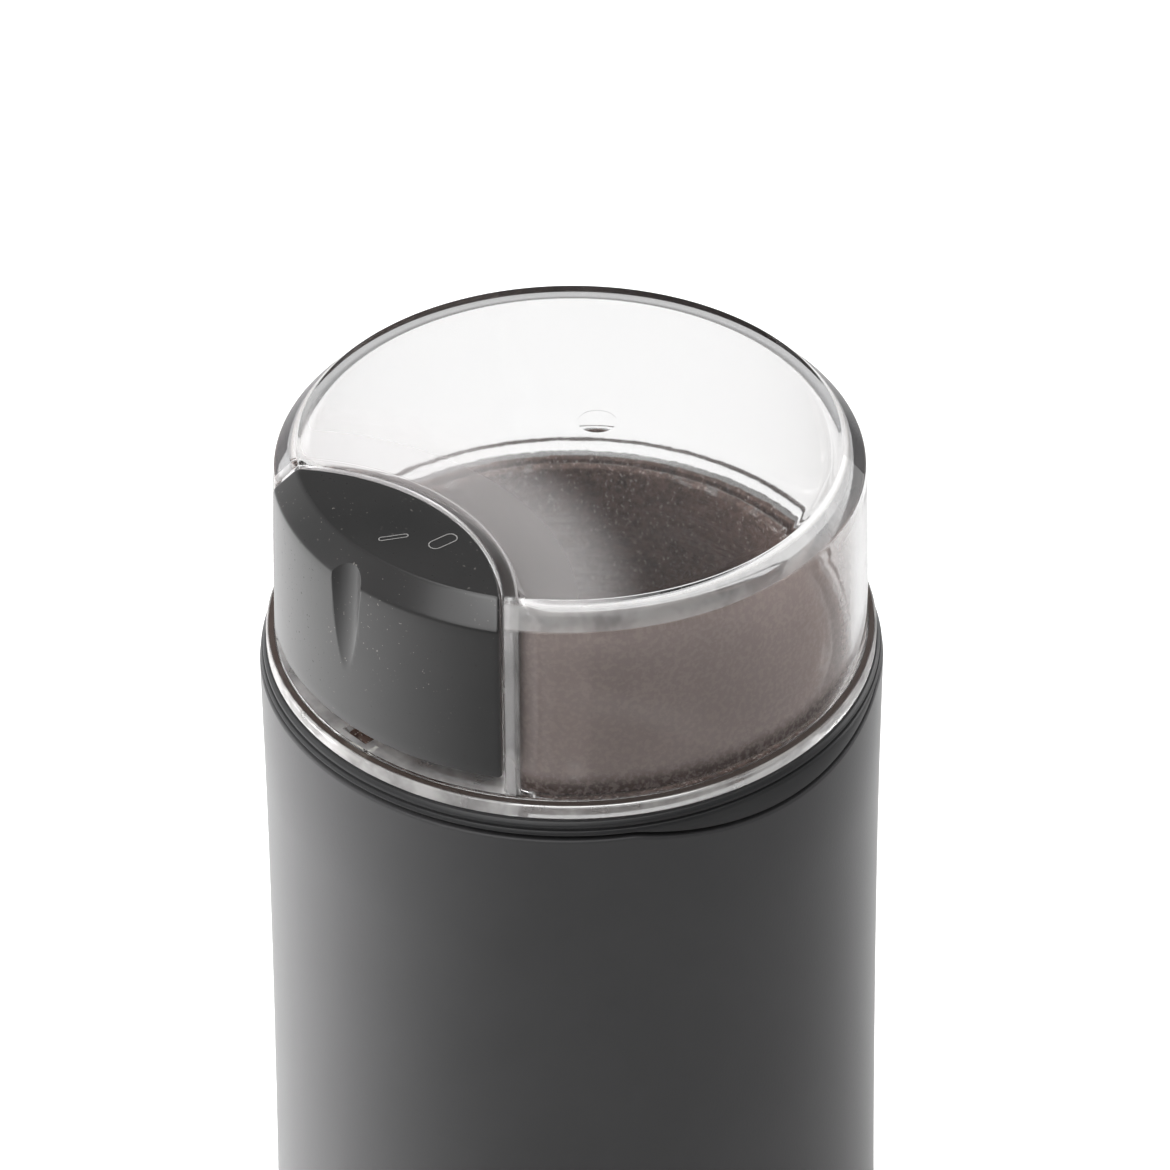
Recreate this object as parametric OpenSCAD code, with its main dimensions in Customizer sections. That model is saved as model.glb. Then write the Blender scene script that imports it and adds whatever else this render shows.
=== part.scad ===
// Electric spice grinder: a blade grinder with a clear lid, a sunk press
// button in the lid's rim, a steel bowl and a universal motor below it.
// Z is up, the origin is on the table under the middle, the button faces -Y.

/* [Body] */
// Height of the collar's top face above the table
body_h = 137.4; // [132:0.2:150]
// Wall of the outer shell
shell_wall = 2.4; // [2:0.1:3]
// How far the shell widens from its straight part to its foot
shell_flare = 2.1; // [0.5:0.1:3]
// Height below the collar over which the shell stays straight
shell_straight = 20; // [10:1:40]
// Rounding of the shell's lower edge
shell_edge_r = 1.8; // [1:0.1:2]
// Height of the parting groove below the collar's top face
parting_drop = 2.4; // [2:0.1:3.5]
// Width of the parting groove between the collar and the shell
parting_gap = 0.7; // [0.4:0.1:1]
// Depth of the two finger dips in the parting line
dip_depth = 3; // [1:0.1:4]
// Width of a finger dip along the shell
dip_w = 48; // [36:1:56]

/* [Base] */
// Thickness of the base cover
base_t = 2.6; // [2:0.1:4]
// How far the rubber feet stand below the base cover
foot_h = 2; // [1.5:0.1:4]
// Radius of a rubber foot
foot_r = 6; // [5:0.5:7]
// Gap between a foot and the edge of the base cover
foot_edge = 3.3; // [2:0.1:5]
// Turn of the feet from the side in degrees
foot_turn = 33.7; // [25:0.1:45]
// Turn of the screw pillars from the side in degrees
pillar_turn = 60.5; // [56:0.5:64]
// Radius of a screw pillar
pillar_r = 3.5; // [3.2:0.1:4]
// Number of air slots on each side of the base cover
vent_count = 4; // [2:1:5]
// Radius of the hole for the supply lead
lead_r = 3.4; // [2.8:0.1:3.6]
// Height of the supply lead's hole
lead_z = 14; // [13:0.5:20]

/* [Lid] */
// Height of the lid
lid_h = 34.3; // [30:0.1:42]
// Wall of the lid
lid_wall = 2.3; // [1.8:0.1:2.6]
// Thickness of the lid's top
lid_top_t = 2.4; // [1.8:0.1:3]
// How far the lid's wall stands in from the shell
lid_setback = 2.45; // [2.2:0.05:2.8]
// How much the lid's wall leans in over its height
lid_draft = 0.95; // [0.5:0.05:1.5]
// Width of the lid's top chamfer
chamfer_w = 3.35; // [2:0.05:4]
// Height of the lid's top chamfer
chamfer_h = 3.6; // [2:0.1:4.5]
// How far the lid's foot ring stands out from its wall
lid_ring_w = 1.35; // [0.8:0.05:1.6]
// Height of the lid's foot ring
lid_ring_h = 2.2; // [1.8:0.1:3]

/* [Button] */
// Radius of the arc behind the button
pocket_r = 33; // [30:0.5:36]
// Depth of the button's pocket behind the lid's wall
pocket_depth = 18.45; // [17:0.05:20]
// Wall of the clear pocket behind the button
pocket_wall = 2; // [1.6:0.1:2.4]
// Wall of the button
button_wall = 1.8; // [1.4:0.1:2]
// Gap between the button and its pocket
button_gap = 0.35; // [0.3:0.05:0.5]
// How far the button stands proud of the lid's wall
button_proud = 0.35; // [0.1:0.05:0.6]
// How far the button goes down
button_travel = 2.5; // [2:0.1:3]
// Height of the thumb notch in the button's wall
notch_h = 14.6; // [10:0.1:18]
// Radius of the notch's round groove
notch_r = 4.1; // [3.4:0.1:4.8]
// Depth of the notch at its top
notch_depth = 1.6; // [1:0.1:2]

/* [Bowl] */
// Inside radius of the bowl at its mouth
bowl_r = 36.8; // [35:0.1:38]
// Inside depth of the bowl
bowl_depth = 41; // [36:0.5:46]
// Sheet thickness of the bowl
bowl_t = 0.6; // [0.5:0.1:0.8]
// Radius of the bowl's lower corner
bowl_corner_r = 10; // [7:0.5:12]
// Width of the bowl's rim beyond its wall
bowl_rim_w = 1; // [0.8:0.1:1.4]

/* [Blade] */
// Gap between the blade's tips and the bowl's wall
blade_gap = 5.8; // [4:0.1:10]
// Width of a blade arm
blade_w = 9; // [7:0.5:10]
// Thickness of the blade
blade_t = 1.5; // [1:0.1:2]
// Pitch of the blade's arms in degrees
blade_pitch = 12; // [6:1:16]
// Rise and fall of the two arms in degrees
blade_bend = 6; // [2:1:8]

/* [Motor] */
// Radius of the motor shaft
shaft_r = 3; // [2.5:0.1:3.2]
// Room for the fan between the base cover and the lower motor plate
fan_room = 23.4; // [22:0.2:28]
// Wall of the stator between its bore and its flat front
yoke_wall = 5.6; // [5:0.1:6.4]
// Length of the stator's poles beyond its bore
pole_l = 11.6; // [11:0.1:13]
// Air gap between the armature and the stator
air_gap = 0.4; // [0.3:0.05:0.6]
// Number of armature slots
slot_count = 12; // [8:1:12]
// Radius of the commutator
commutator_r = 9.5; // [8.5:0.1:10.5]
// Number of fan blades
fan_blades = 9; // [5:1:11]
// Radius of the fan
fan_r = 22; // [18:0.5:24]
// Radius of the motor's leads
wire_r = 0.8; // [0.6:0.1:0.9]

/* [Push rod and switch] */
// Distance between the push rod and the pin of the switch's lever
lever_arm = 15.1; // [14:0.1:16]
// Width of the flat push rod
rod_w = 5; // [4:0.5:8]
// Thickness of the flat push rod
rod_t = 2.4; // [2:0.1:3]
// Radius of the push rod's stem
stem_r = 1.2; // [1:0.1:1.4]
// Height of the switch
switch_h = 10; // [8:0.5:12]
// Thickness of the switch
switch_t = 6.4; // [5:0.2:8]
// Length of the switch
switch_l = 17.5; // [17:0.1:18]

/* [Hidden] */
$fn = 72;

// Clearances
seat = 0.02;        // round pieces that sit tight on each other
run = 0.05;         // a shaft that turns in a bearing
slide = 0.3;        // pieces that slide or move past each other
eps = 1;            // how far a cutter runs past the face it cuts

// Radii, from the bowl outwards
bowl_out_r = bowl_r + bowl_t;
cup_in_r = bowl_out_r + slide;
cup_wall = 1.5;
cup_out_r = cup_in_r + cup_wall;
rod_r = cup_out_r + slide + 0.4 + rod_t / 2;
channel_out_r = rod_r + rod_t / 2 + slide;
spigot_r = channel_out_r + 0.7;
shell_in_r = spigot_r + 0.2;
shell_r = shell_in_r + shell_wall;
foot_out_r = shell_r + shell_flare;
cover_r = foot_out_r - shell_wall - 0.2;

// Round pieces that places below depend on
screw_r = 1.5;
screw_head_r = 2.75;
screw_head_h = 1.8;
screw_grip = 12;
pillar_ring = cup_in_r - screw_head_r - slide - 0.15;
pillar_xy = pillar_ring * [cos(pillar_turn), sin(pillar_turn)];
foot_ring = cover_r - foot_r - foot_edge;
foot_xy = foot_ring * [cos(foot_turn), sin(foot_turn)];

// Heights, from the collar downwards
parting_z = body_h - parting_drop;
collar_under = parting_z + parting_gap / 2;
shell_top = parting_z - parting_gap / 2;
spigot_h = 9;
seal_t = 0.8;
rim_t = 0.8;
rim_top = body_h + seal_t + rim_t;
bowl_floor = rim_top - bowl_depth;
bowl_under = bowl_floor - bowl_t;
floor_boss_h = 3.4;
carrier_floor_t = 2.5;
carrier_floor_top = bowl_under - floor_boss_h;
carrier_under = carrier_floor_top - carrier_floor_t;
mount_h = 5;
plate_t = 2.5;
upper_plate_z = carrier_under - mount_h - plate_t;
upper_post_h = 11;
stack_top = upper_plate_z - upper_post_h;
lower_plate_z = foot_h + base_t + fan_room;
lower_post_h = 16.5;
stack_bottom = lower_plate_z + plate_t + lower_post_h;
stack_h = stack_top - stack_bottom;

// Shell and base
flare_top = shell_top - shell_straight;
flare_h = flare_top - foot_h;
flare_steps = 8;
dip_arc_r = (pow(dip_w / 2, 2) + pow(dip_depth, 2)) / (2 * dip_depth);
dip_axis_z = parting_z - dip_depth + dip_arc_r;
pillar_foot = foot_h + base_t + 3.4;
corners = [[1, 1], [-1, 1], [-1, -1], [1, -1]];
bush_neck_r = lead_r + 2;
bush_flange_r = bush_neck_r + 1.8;
bush_seat_in = 1.1;
bush_end_t = 0.9;
bush_tail = shell_wall + 1.2;

// Lid and button
lid_gap = 0.3;
lid_z = body_h + lid_gap;
lid_top = lid_z + lid_h;
lid_foot_r = shell_r - lid_setback + lid_ring_w;
wall_low_r = shell_r - lid_setback;
wall_high_r = wall_low_r - lid_draft;
wall_low_z = lid_z + lid_ring_h + 0.4;
wall_high_z = lid_top - chamfer_h;
wall_steps = 4;
sill_z = rim_top + 0.2;
sill_t = 1.3;
sill_top = sill_z + sill_t;
button_z = sill_top + button_travel + slide;
pocket_c = wall_low_r - pocket_depth + pocket_r;
post_x = 11;
post_y = -(wall_low_r - 9.45);
post_r = 2;
post_h = 6;
spring_r = 3;
spring_room = 12.5;
spring_seat_z = sill_top + spring_room;
tongue_w = rod_w - 0.8;
tongue_t = rod_t - 0.2;
pocket_fillet = 6;

// Stator, as deep as the room behind the switch
pin_inset = 1.5;
stator_gap = 2.5;
pivot_y = rod_r - lever_arm;
switch_in_y = pivot_y - pin_inset;
stator_y = switch_in_y - stator_gap;
bore_r = stator_y - yoke_wall;
stator_x = bore_r + pole_l;
armature_r = bore_r - air_gap;
screw_xy = [stator_x - 6, stator_y - 2.1];
pole_w = 17;
coil_in_x = armature_r + 1;
coil_out_x = stator_x - 4.5;
window_y = stator_y - 4.2;
coil_half_w = window_y - 2.5;
coil_head_h = 6.5;

// Rotor
blade_r = bowl_r - blade_gap;
tip_cut = 9;
hub_z = bowl_floor + 3.7;
hub_h = 2.9;
hub_r = 6.5;
thread_r = shaft_r - 0.5;
blade_z = hub_z + hub_h;
nut_z = blade_z + blade_t;
nut_h = 5.4;
bearing_r = shaft_r + 2;
bearing_h = 10;
low_bearing_h = 8;
neck_r = bearing_r + 2;
neck_top = bowl_floor + 2.9;
bowl_nut_h = 3;
shaft_tail = 16;
shaft_low = lower_plate_z - shaft_tail;
comm_z = lower_plate_z + plate_t + 3;
comm_h = 9.9;
head_h = 5.4;
head_r = 0.9 * armature_r;
slot_ring = 0.75 * armature_r;
slot_r = slot_ring * (sin(180 / slot_count) - 0.075);
fan_z = shaft_low + 1;
fan_h = 10;
brush_z = comm_z + 1.2;
brush_y = commutator_r + 0.25;
brush_w = 5;
brush_h = 6;
brush_l = 11;
holder_y = brush_y + 1.8;
holder_l = 15;

// Switch
switch_drop = 15.5;
switch_top = carrier_under - switch_drop;
pivot_z = switch_top + 1.1;
lever_t = 0.5;
lever_w = 4;
lever_press = asin(button_travel / lever_arm);
lever_rest = lever_press + 1;
lever_l = lever_arm + 1.5;
plunger_arm = 5;
plunger_top = pivot_z - lever_t / 2 + plunger_arm * tan(lever_rest) - slide;
stem_end = pivot_z + lever_t / 2 + lever_arm * tan(lever_rest) + slide;
rod_top = body_h - 0.4;
rod_l = 25;
rod_spring_r = stem_r + 0.6;
rod_spring_room = 12;
rod_shoulder = rod_top - rod_l;
shelf_top = rod_shoulder - rod_spring_room;
shelf_t = 2;
guide_t = 1.5;
web_t = 1.8;
switch_screw_y = [switch_in_y + 4, switch_in_y + 12.5];
switch_screw_z = switch_top - switch_h + 3;
switch_screw_r = 1.1;
first_tab = 3;
last_tab = 14;
tab_low = switch_top - switch_h - 5;
tag_z = brush_z + 1.8;
coil_x = coil_in_x + 1.2;
coil_wire_z = stack_bottom - 2;

// ---- Helpers ----

// Points of a rectangle with round corners
function rounded(w, d, r, n = 6) = [
    for (q = [0:3]) for (i = [0:n])
        let (a = 90 * q + 90 * i / n)
        let (sx = (q == 0 || q == 3) ? 1 : -1)
        let (sy = q < 2 ? 1 : -1)
        [sx * (w / 2 - r) + r * cos(a), sy * (d / 2 - r) + r * sin(a)]];

// Points of an arc about a centre
function arc(cx, cy, r, a0, a1, n = 6) =
    [for (i = [0:n]) let (a = a0 + (a1 - a0) * i / n) [cx + r * cos(a), cy + r * sin(a)]];

// The same list read from its other end
function backwards(list) = [for (i = [len(list) - 1:-1:0]) list[i]];

// A flat plate with round corners
module plate(w, d, r, z, t) {
    translate([0, 0, z]) linear_extrude(t) polygon(rounded(w, d, r));
}

// A round tube between two heights
module tube(r_out, r_in, z0, z1) {
    rotate_extrude() polygon([[r_in, z0], [r_out, z0], [r_out, z1], [r_in, z1]]);
}

// A round bar between two heights
module bar(r, z0, z1) {
    translate([0, 0, z0]) cylinder(r = r, h = z1 - z0);
}

// Copies a piece to four places, mirrored about both middles
module at_four(xy) {
    for (c = corners) translate([c[0] * xy[0], c[1] * xy[1], 0]) children();
}

// A box given by its two corners
module block(low, high) {
    translate(low) cube(high - low);
}

// A coil of round wire between two heights
module coil(r, wire_r, z0, z1, turns, steps = 12, sides = 6) {
    n = turns * steps;
    rise = z1 - z0 - 2 * wire_r;
    points = [for (i = [0:n]) let (a = 360 * i / steps) for (k = [0:sides - 1])
        let (b = 360 * k / sides, d = r + wire_r * cos(b))
        [d * cos(a), d * sin(a), z0 + wire_r + rise * i / n + wire_r * sin(b)]];
    walls = [for (i = [0:n - 1]) for (k = [0:sides - 1])
        let (p = i * sides + k, q = i * sides + (k + 1) % sides)
        [p, q, q + sides, p + sides]];
    ends = [[for (k = [0:sides - 1]) sides - 1 - k], [for (k = [0:sides - 1]) n * sides + k]];
    polyhedron(points, concat(walls, ends), convexity = 8);
}

// A screw with a round head at its lower end, pointing up
module screw(head_r, head_h, r, z0, z1) {
    bar(head_r, z0, z0 + head_h);
    bar(r, z0 + head_h, z1);
}

// ---- Shell, collar and base ----

// Outside radius of the shell at a height
function shell_at(z) = z >= flare_top ? shell_r
    : shell_r + shell_flare * pow((flare_top - z) / flare_h, 1.5);

function flare_points(inset) = [for (i = [0:flare_steps])
    let (z = foot_h + shell_edge_r + (flare_h - shell_edge_r) * i / flare_steps)
    [shell_at(z) - inset, z]];

module shell_solid() {
    low_r = shell_at(foot_h + shell_edge_r) - shell_edge_r;
    rotate_extrude() polygon(concat(
        [[0, foot_h]],
        arc(low_r, foot_h + shell_edge_r, shell_edge_r, -90, -15),
        flare_points(0),
        [[shell_r, shell_top - 0.4], [shell_r - 0.4, shell_top], [0, shell_top]]));
}

module shell_hollow() {
    rotate_extrude() polygon(concat(
        [[0, foot_h - eps], [shell_at(foot_h) - shell_wall, foot_h - eps]],
        flare_points(shell_wall),
        [[shell_in_r, shell_top + eps], [0, shell_top + eps]]));
}

// The round bar, lying along X, that gives both dips their curve
module dip_bar(grow) {
    translate([-shell_r - 10, 0, dip_axis_z]) rotate([0, 90, 0])
        cylinder(r = dip_arc_r + grow, h = 2 * shell_r + 20, $fn = 180);
}

// A rib from each pillar to the shell's wall
module pillar_ribs() {
    start = pillar_ring + pillar_r - 0.5;
    for (a = pillar_turn * [1, -1], b = [0, 180]) rotate([0, 0, a + b])
        block([start, -0.8, pillar_foot + 2], [shell_r + 5, 0.8, carrier_under - 4]);
}

module outer_shell() {
    color("#2b2d30") difference() {
        union() {
            difference() {
                shell_solid();
                shell_hollow();
                dip_bar(parting_gap / 2);
            }
            intersection() {
                pillar_ribs();
                shell_solid();
            }
            at_four(pillar_xy) bar(pillar_r, pillar_foot, carrier_under);
        }
        at_four(pillar_xy) bar(screw_r - 0.2, pillar_foot - eps, pillar_foot + screw_grip + 2);
        at_four(pillar_xy) bar(screw_r - 0.2, carrier_under - screw_grip - 2, carrier_under + eps);
        lead_hole(shell_in_r - 6, bush_neck_r + seat);
        lead_hole(bush_seat_y(), bush_flange_r + 0.1);
    }
}

// The lead's hole through the rear wall, as a round bar along +Y
module lead_hole(y, r) {
    translate([0, y, lead_z]) rotate([-90, 0, 0]) cylinder(r = r, h = 20);
}

// Where the bush's flange seats in the shell's wall
function bush_seat_y() = shell_at(lead_z) - bush_seat_in;

module lead_bush() {
    color("#1c1c1e") translate([0, bush_seat_y(), lead_z]) rotate([90, 0, 0]) rotate_extrude()
        polygon([[lead_r, -bush_end_t], [bush_flange_r - bush_end_t / 2, -bush_end_t],
            [bush_flange_r, -bush_end_t / 2], [bush_flange_r, 0], [bush_neck_r, 0],
            [bush_neck_r, bush_tail], [lead_r, bush_tail]]);
}

// The collar's outline above the shell, with its bead and its fine line
module collar_ring() {
    rotate_extrude() polygon([
        [cup_in_r, collar_under], [shell_r, collar_under], [shell_r - 0.4, collar_under + 0.7],
        [shell_r - 0.5, collar_under + 0.8], [shell_r - 0.85, collar_under + 0.8],
        [shell_r - 0.85, collar_under + 1.1], [shell_r - 0.55, collar_under + 1.15],
        [shell_r - 0.6, body_h - 0.5], [shell_r - 0.9, body_h], [cup_in_r, body_h]]);
}

// The collar's two tongues that fill the dips
module dip_tongues() {
    intersection() {
        tube(shell_r, spigot_r - 0.5, parting_z - dip_depth - 1, collar_under + 0.2);
        dip_bar(-parting_gap / 2);
    }
}

// The low ring that centres the lid, open where the lid's pocket passes
module locating_ring() {
    out_r = wall_low_r - lid_wall - slide;
    difference() {
        tube(out_r, out_r - 1, body_h - 0.2, body_h + 1.2);
        pocket_bar(pocket_r + pocket_wall + 0.6, body_h, body_h + 5);
    }
}

// The two ribs and the shelf that lead the push rod
module rod_guide() {
    low = shelf_top - shelf_t;
    half = rod_w / 2 + slide;
    rib_x = half + guide_t;
    intersection() {
        bar(spigot_r, low, parting_z);
        union() {
            for (x0 = [half, -rib_x])
                block([x0, -spigot_r, low], [x0 + guide_t, -cup_out_r + 1, parting_z]);
            block([-rib_x, -spigot_r, low], [rib_x, -cup_out_r + 1, shelf_top]);
        }
    }
}

module rod_channel() {
    half = rod_w / 2 + slide;
    block([-half, -channel_out_r, shelf_top + 0.01], [half, -rod_r + rod_t / 2 + slide, body_h + eps]);
    translate([0, -rod_r, 0]) bar(stem_r + 0.15, shelf_top - shelf_t - eps, shelf_top + eps);
    translate([0, -rod_r, 0]) bar(rod_spring_r + 0.4, shelf_top, rod_shoulder + eps);
}

// The flat web under the carrier that holds the switch
module switch_web() {
    x0 = switch_t / 2 + 0.1;
    block([x0, -cup_out_r + 0.5, switch_top - switch_h - 1], [x0 + web_t, -switch_in_y - 0.5,
        carrier_under + 0.5]);
}

module bowl_carrier() {
    color("#232427") difference() {
        union() {
            collar_ring();
            tube(spigot_r, spigot_r - 1.7, body_h - spigot_h, collar_under + 0.2);
            dip_tongues();
            locating_ring();
            tube(cup_out_r, cup_in_r, carrier_under, collar_under + 0.2);
            bar(cup_out_r - 0.2, carrier_under, carrier_floor_top);
            bar(11, carrier_floor_top - 0.2, bowl_under);
            rod_guide();
            switch_web();
        }
        rod_channel();
        bar(neck_r + 0.2, carrier_under - eps, bowl_under + eps);
        at_four(pillar_xy) bar(screw_r + 0.2, carrier_under - eps, carrier_floor_top + eps);
        at_four(screw_xy) bar(screw_r + 0.2, carrier_under - eps, carrier_floor_top + eps);
        switch_screw_holes(switch_screw_r + 0.05);
    }
}

// Air slots to the left and right, longer near the middle
module vents() {
    pitch = 6;
    for (s = [-1, 1]) for (i = [0:vent_count - 1]) {
        x = s * (4 + pitch * i);
        translate([x, 0, foot_h - eps]) linear_extrude(base_t + 2 * eps)
            polygon(rounded(2.4, 34 - 2.4 * i, 1.1, 4));
    }
}

module base_cover() {
    color("#26282b") difference() {
        union() {
            bar(cover_r, foot_h, foot_h + base_t);
            tube(cover_r - 0.4, cover_r - 2, foot_h, foot_h + base_t + 4);
            at_four(pillar_xy) bar(screw_head_r + 1.4, foot_h, pillar_foot);
        }
        vents();
        at_four(foot_xy) bar(2.5 + seat, foot_h - eps, foot_h + base_t + eps);
        at_four(pillar_xy) bar(screw_head_r + 0.25, foot_h - eps, foot_h + 2.6);
        at_four(pillar_xy) bar(screw_r + 0.2, foot_h - eps, pillar_foot + eps);
        lead_hole(shell_in_r - bush_neck_r - 6, bush_neck_r + 1);
    }
}

module rubber_foot() {
    rotate_extrude() polygon([[0, 0], [foot_r - 0.8, 0], [foot_r, 0.8], [foot_r, foot_h],
        [2.5, foot_h], [2.5, foot_h + base_t], [3.3, foot_h + base_t],
        [2.4, foot_h + base_t + 1.4], [0, foot_h + base_t + 1.4]]);
}

module rubber_feet() {
    color("#141414") at_four(foot_xy) rubber_foot();
}

module base_screws() {
    z0 = foot_h + 2.6 - screw_head_h;
    color("#8d9094") at_four(pillar_xy)
        screw(screw_head_r, screw_head_h, screw_r - 0.2, z0, pillar_foot + screw_grip);
}

module carrier_screws() {
    color("#8d9094") at_four(pillar_xy) translate([0, 0, carrier_floor_top + screw_head_h])
        mirror([0, 0, 1])
        screw(screw_head_r, screw_head_h, screw_r - 0.2, 0, screw_head_h + carrier_floor_t
            + screw_grip);
}

// ---- Lid and button ----

// Outside radius of the lid's wall at a height
function wall_at(z) = wall_high_r
    + lid_draft * pow((wall_high_z - z) / (wall_high_z - wall_low_z), 0.6);

function wall_points(inset) = [for (i = [0:wall_steps])
    let (z = wall_low_z + (wall_high_z - wall_low_z) * i / wall_steps)
    [wall_at(z) - inset, z]];

module lid_solid() {
    rotate_extrude() polygon(concat(
        [[0, lid_z], [lid_foot_r, lid_z], [lid_foot_r, lid_z + lid_ring_h]],
        wall_points(0),
        [[wall_high_r - chamfer_w, lid_top], [0, lid_top]]));
}

module lid_hollow() {
    rotate_extrude() polygon(concat(
        [[0, lid_z - eps], [wall_low_r - lid_wall, lid_z - eps]],
        wall_points(lid_wall),
        [[wall_high_r - chamfer_w - lid_wall / 2, lid_top - lid_top_t],
            [0, lid_top - lid_top_t]]));
}

// The button's space in plan: a round bar behind it
module pocket_bar(r, z0, z1) {
    translate([0, -pocket_c, 0]) bar(r, z0, z1);
}

// Fills the corner where the pocket's wall meets the lid's wall
module pocket_corner() {
    inner_r = wall_at((wall_low_z + wall_high_z) / 2) - lid_wall;
    back_r = pocket_r + pocket_wall;
    a = inner_r - pocket_fillet;
    b = back_r + pocket_fillet;
    cy = (b * b - a * a - pocket_c * pocket_c) / (2 * pocket_c);
    cx = sqrt(a * a - cy * cy);
    on_wall = [cx, cy] * (inner_r + 0.6) / a;
    on_back = [cx, cy + pocket_c] * (back_r - 0.4) / b - [0, pocket_c];
    tip_y = (back_r * back_r - inner_r * inner_r - pocket_c * pocket_c) / (2 * pocket_c);
    tip = [sqrt(inner_r * inner_r - tip_y * tip_y), tip_y - 0.8];
    translate([0, 0, sill_z]) linear_extrude(lid_h) difference() {
        polygon([on_wall, [cx, cy], on_back, tip]);
        translate([cx, cy]) circle(r = pocket_fillet + 0.1);
    }
}

module lid() {
    slot_half = tongue_w / 2 + 0.4;
    color("#dfe6e8", 0.4) difference() {
        union() {
            difference() {
                lid_solid();
                lid_hollow();
            }
            intersection() {
                lid_solid();
                pocket_bar(pocket_r + pocket_wall, sill_z, lid_top);
            }
            intersection() {
                lid_solid();
                for (s = [0, 1]) mirror([s, 0, 0]) pocket_corner();
            }
        }
        difference() {
            pocket_bar(pocket_r, sill_top, lid_top + eps);
            for (s = [-1, 1]) translate([s * post_x, post_y, 0]) bar(post_r, sill_z, sill_top + post_h);
        }
        block([-slot_half, -rod_r - tongue_t / 2 - 0.3, lid_z - eps],
            [slot_half, -rod_r + tongue_t / 2 + 0.3, sill_top + eps]);
        translate([0, 5.4, 0]) bar(2.75, lid_top - 0.25, lid_top + eps);
    }
}

// The button's outer form: the lid's wall and chamfer a little proud
module button_solid(inset, z0, z1) {
    grow = button_proud - inset;
    intersection() {
        rotate_extrude() polygon(concat(
            [[0, z0], [wall_at(wall_low_z) + grow, z0]],
            [for (p = wall_points(-grow)) if (p[1] > z0 + 0.5 && p[1] < wall_high_z - 0.1) p],
            [[wall_high_r + grow, wall_high_z - inset / 2],
                [wall_high_r - chamfer_w + grow, z1], [0, z1]]));
        pocket_bar(pocket_r - button_gap - inset, z0, z1);
    }
}

// The thumb notch, a leaning round bar that bites deeper towards the sloped edge
module notch() {
    tip_z = lid_top - chamfer_h - notch_h;
    run_h = notch_h + 1.5;
    low_y = -(wall_at(tip_z) + button_proud + notch_r);
    high_y = -(wall_high_r + button_proud + notch_r - notch_depth);
    lean = atan2(low_y - high_y, run_h);
    translate([0, low_y, tip_z]) rotate([lean, 0, 0]) translate([0, 0, -3])
        cylinder(r = notch_r, h = notch_h + 10);
}

module button() {
    inner_top = lid_top - 2.2;
    color("#17181a") difference() {
        union() {
            difference() {
                button_solid(0, button_z, lid_top);
                button_solid(button_wall, button_z - eps, inner_top);
            }
            for (s = [-1, 1]) translate([s * post_x, post_y, 0])
                tube(spring_r + 1.5, spring_r + 0.6, spring_seat_z - 2, inner_top + 0.5);
            for (s = [-1, 1]) translate([s * post_x, post_y, 0])
                bar(spring_r + 1, spring_seat_z, inner_top + 0.5);
            translate([-tongue_w / 2, -rod_r - tongue_t / 2, rod_top + slide])
                cube([tongue_w, tongue_t, 20]);
            notch_lining();
        }
        notch();
    }
}

// Keeps a wall behind the notch
module notch_lining() {
    intersection() {
        button_solid(0, button_z, lid_top);
        block([-notch_r - 1.5, -wall_low_r - 2, lid_top - chamfer_h - notch_h],
            [notch_r + 1.5, -wall_high_r + notch_depth + 1.2, lid_top - 1]);
    }
}

module button_springs() {
    color("#b9bcc0") for (s = [-1, 1]) translate([s * post_x, post_y, 0])
        coil(spring_r - 0.3, 0.3, sill_top, spring_seat_z, 6);
}

// ---- Bowl ----

module grinding_bowl() {
    low_r = bowl_r - 0.8;
    inner_corner = bowl_corner_r - bowl_t;
    corner_x = low_r - inner_corner;
    corner_z = bowl_floor + inner_corner;
    outside = concat([[neck_r + 0.1, bowl_under]],
        arc(corner_x, corner_z, bowl_corner_r, -90, 0, 8),
        [[bowl_out_r, body_h + seal_t - 1], [bowl_out_r, body_h + seal_t]]);
    inside = concat([[neck_r + 0.1, bowl_floor]],
        arc(corner_x, corner_z, inner_corner, -90, 0, 8),
        [[bowl_r, body_h + seal_t - 1], [bowl_r, rim_top - 0.3], [bowl_r + 0.3, rim_top]]);
    rim = [[bowl_out_r + bowl_rim_w - 0.3, body_h + seal_t],
        [bowl_out_r + bowl_rim_w, body_h + seal_t + 0.3],
        [bowl_out_r + bowl_rim_w, rim_top - 0.3],
        [bowl_out_r + bowl_rim_w - 0.3, rim_top]];
    color("#c4c6c8") rotate_extrude() polygon(concat(outside, rim, backwards(inside)));
}

module bowl_seal() {
    color("#3a3a3c") tube(bowl_out_r + bowl_rim_w - 0.1, bowl_out_r + 0.1, body_h, body_h + seal_t);
}

module bowl_nut() {
    color("#a9acb0") difference() {
        translate([0, 0, bowl_floor]) cylinder(r = neck_r + 5, h = bowl_nut_h, $fn = 6);
        bar(neck_r + run, bowl_floor - eps, bowl_floor + bowl_nut_h + eps);
    }
}

// ---- Blade and rotor ----

// One arm along +X, with its leading edge ground thin
module blade_arm(bend) {
    half = blade_w / 2;
    rotate([blade_pitch, -bend, 0]) difference() {
        translate([0, 0, -blade_t / 2]) linear_extrude(blade_t) polygon([[0, -half],
            [blade_r - tip_cut, -half], [blade_r - tip_cut * 0.28, -half * 0.3],
            [blade_r - 0.5, half * 0.35], [blade_r - tip_cut * 0.13, half * 0.8],
            [blade_r - tip_cut, half], [0, half]]);
        translate([hub_r + 2.5, -half, -blade_t / 2]) rotate([30, 0, 0])
            block([0, -blade_w, 0], [blade_r, 0, blade_w]);
        translate([blade_r - tip_cut, -half, -blade_t / 2]) rotate([0, 0, 26])
            rotate([30, 0, 0]) block([-0.5, -blade_w, 0], [1.6 * tip_cut, 0, blade_w]);
    }
}

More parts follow.
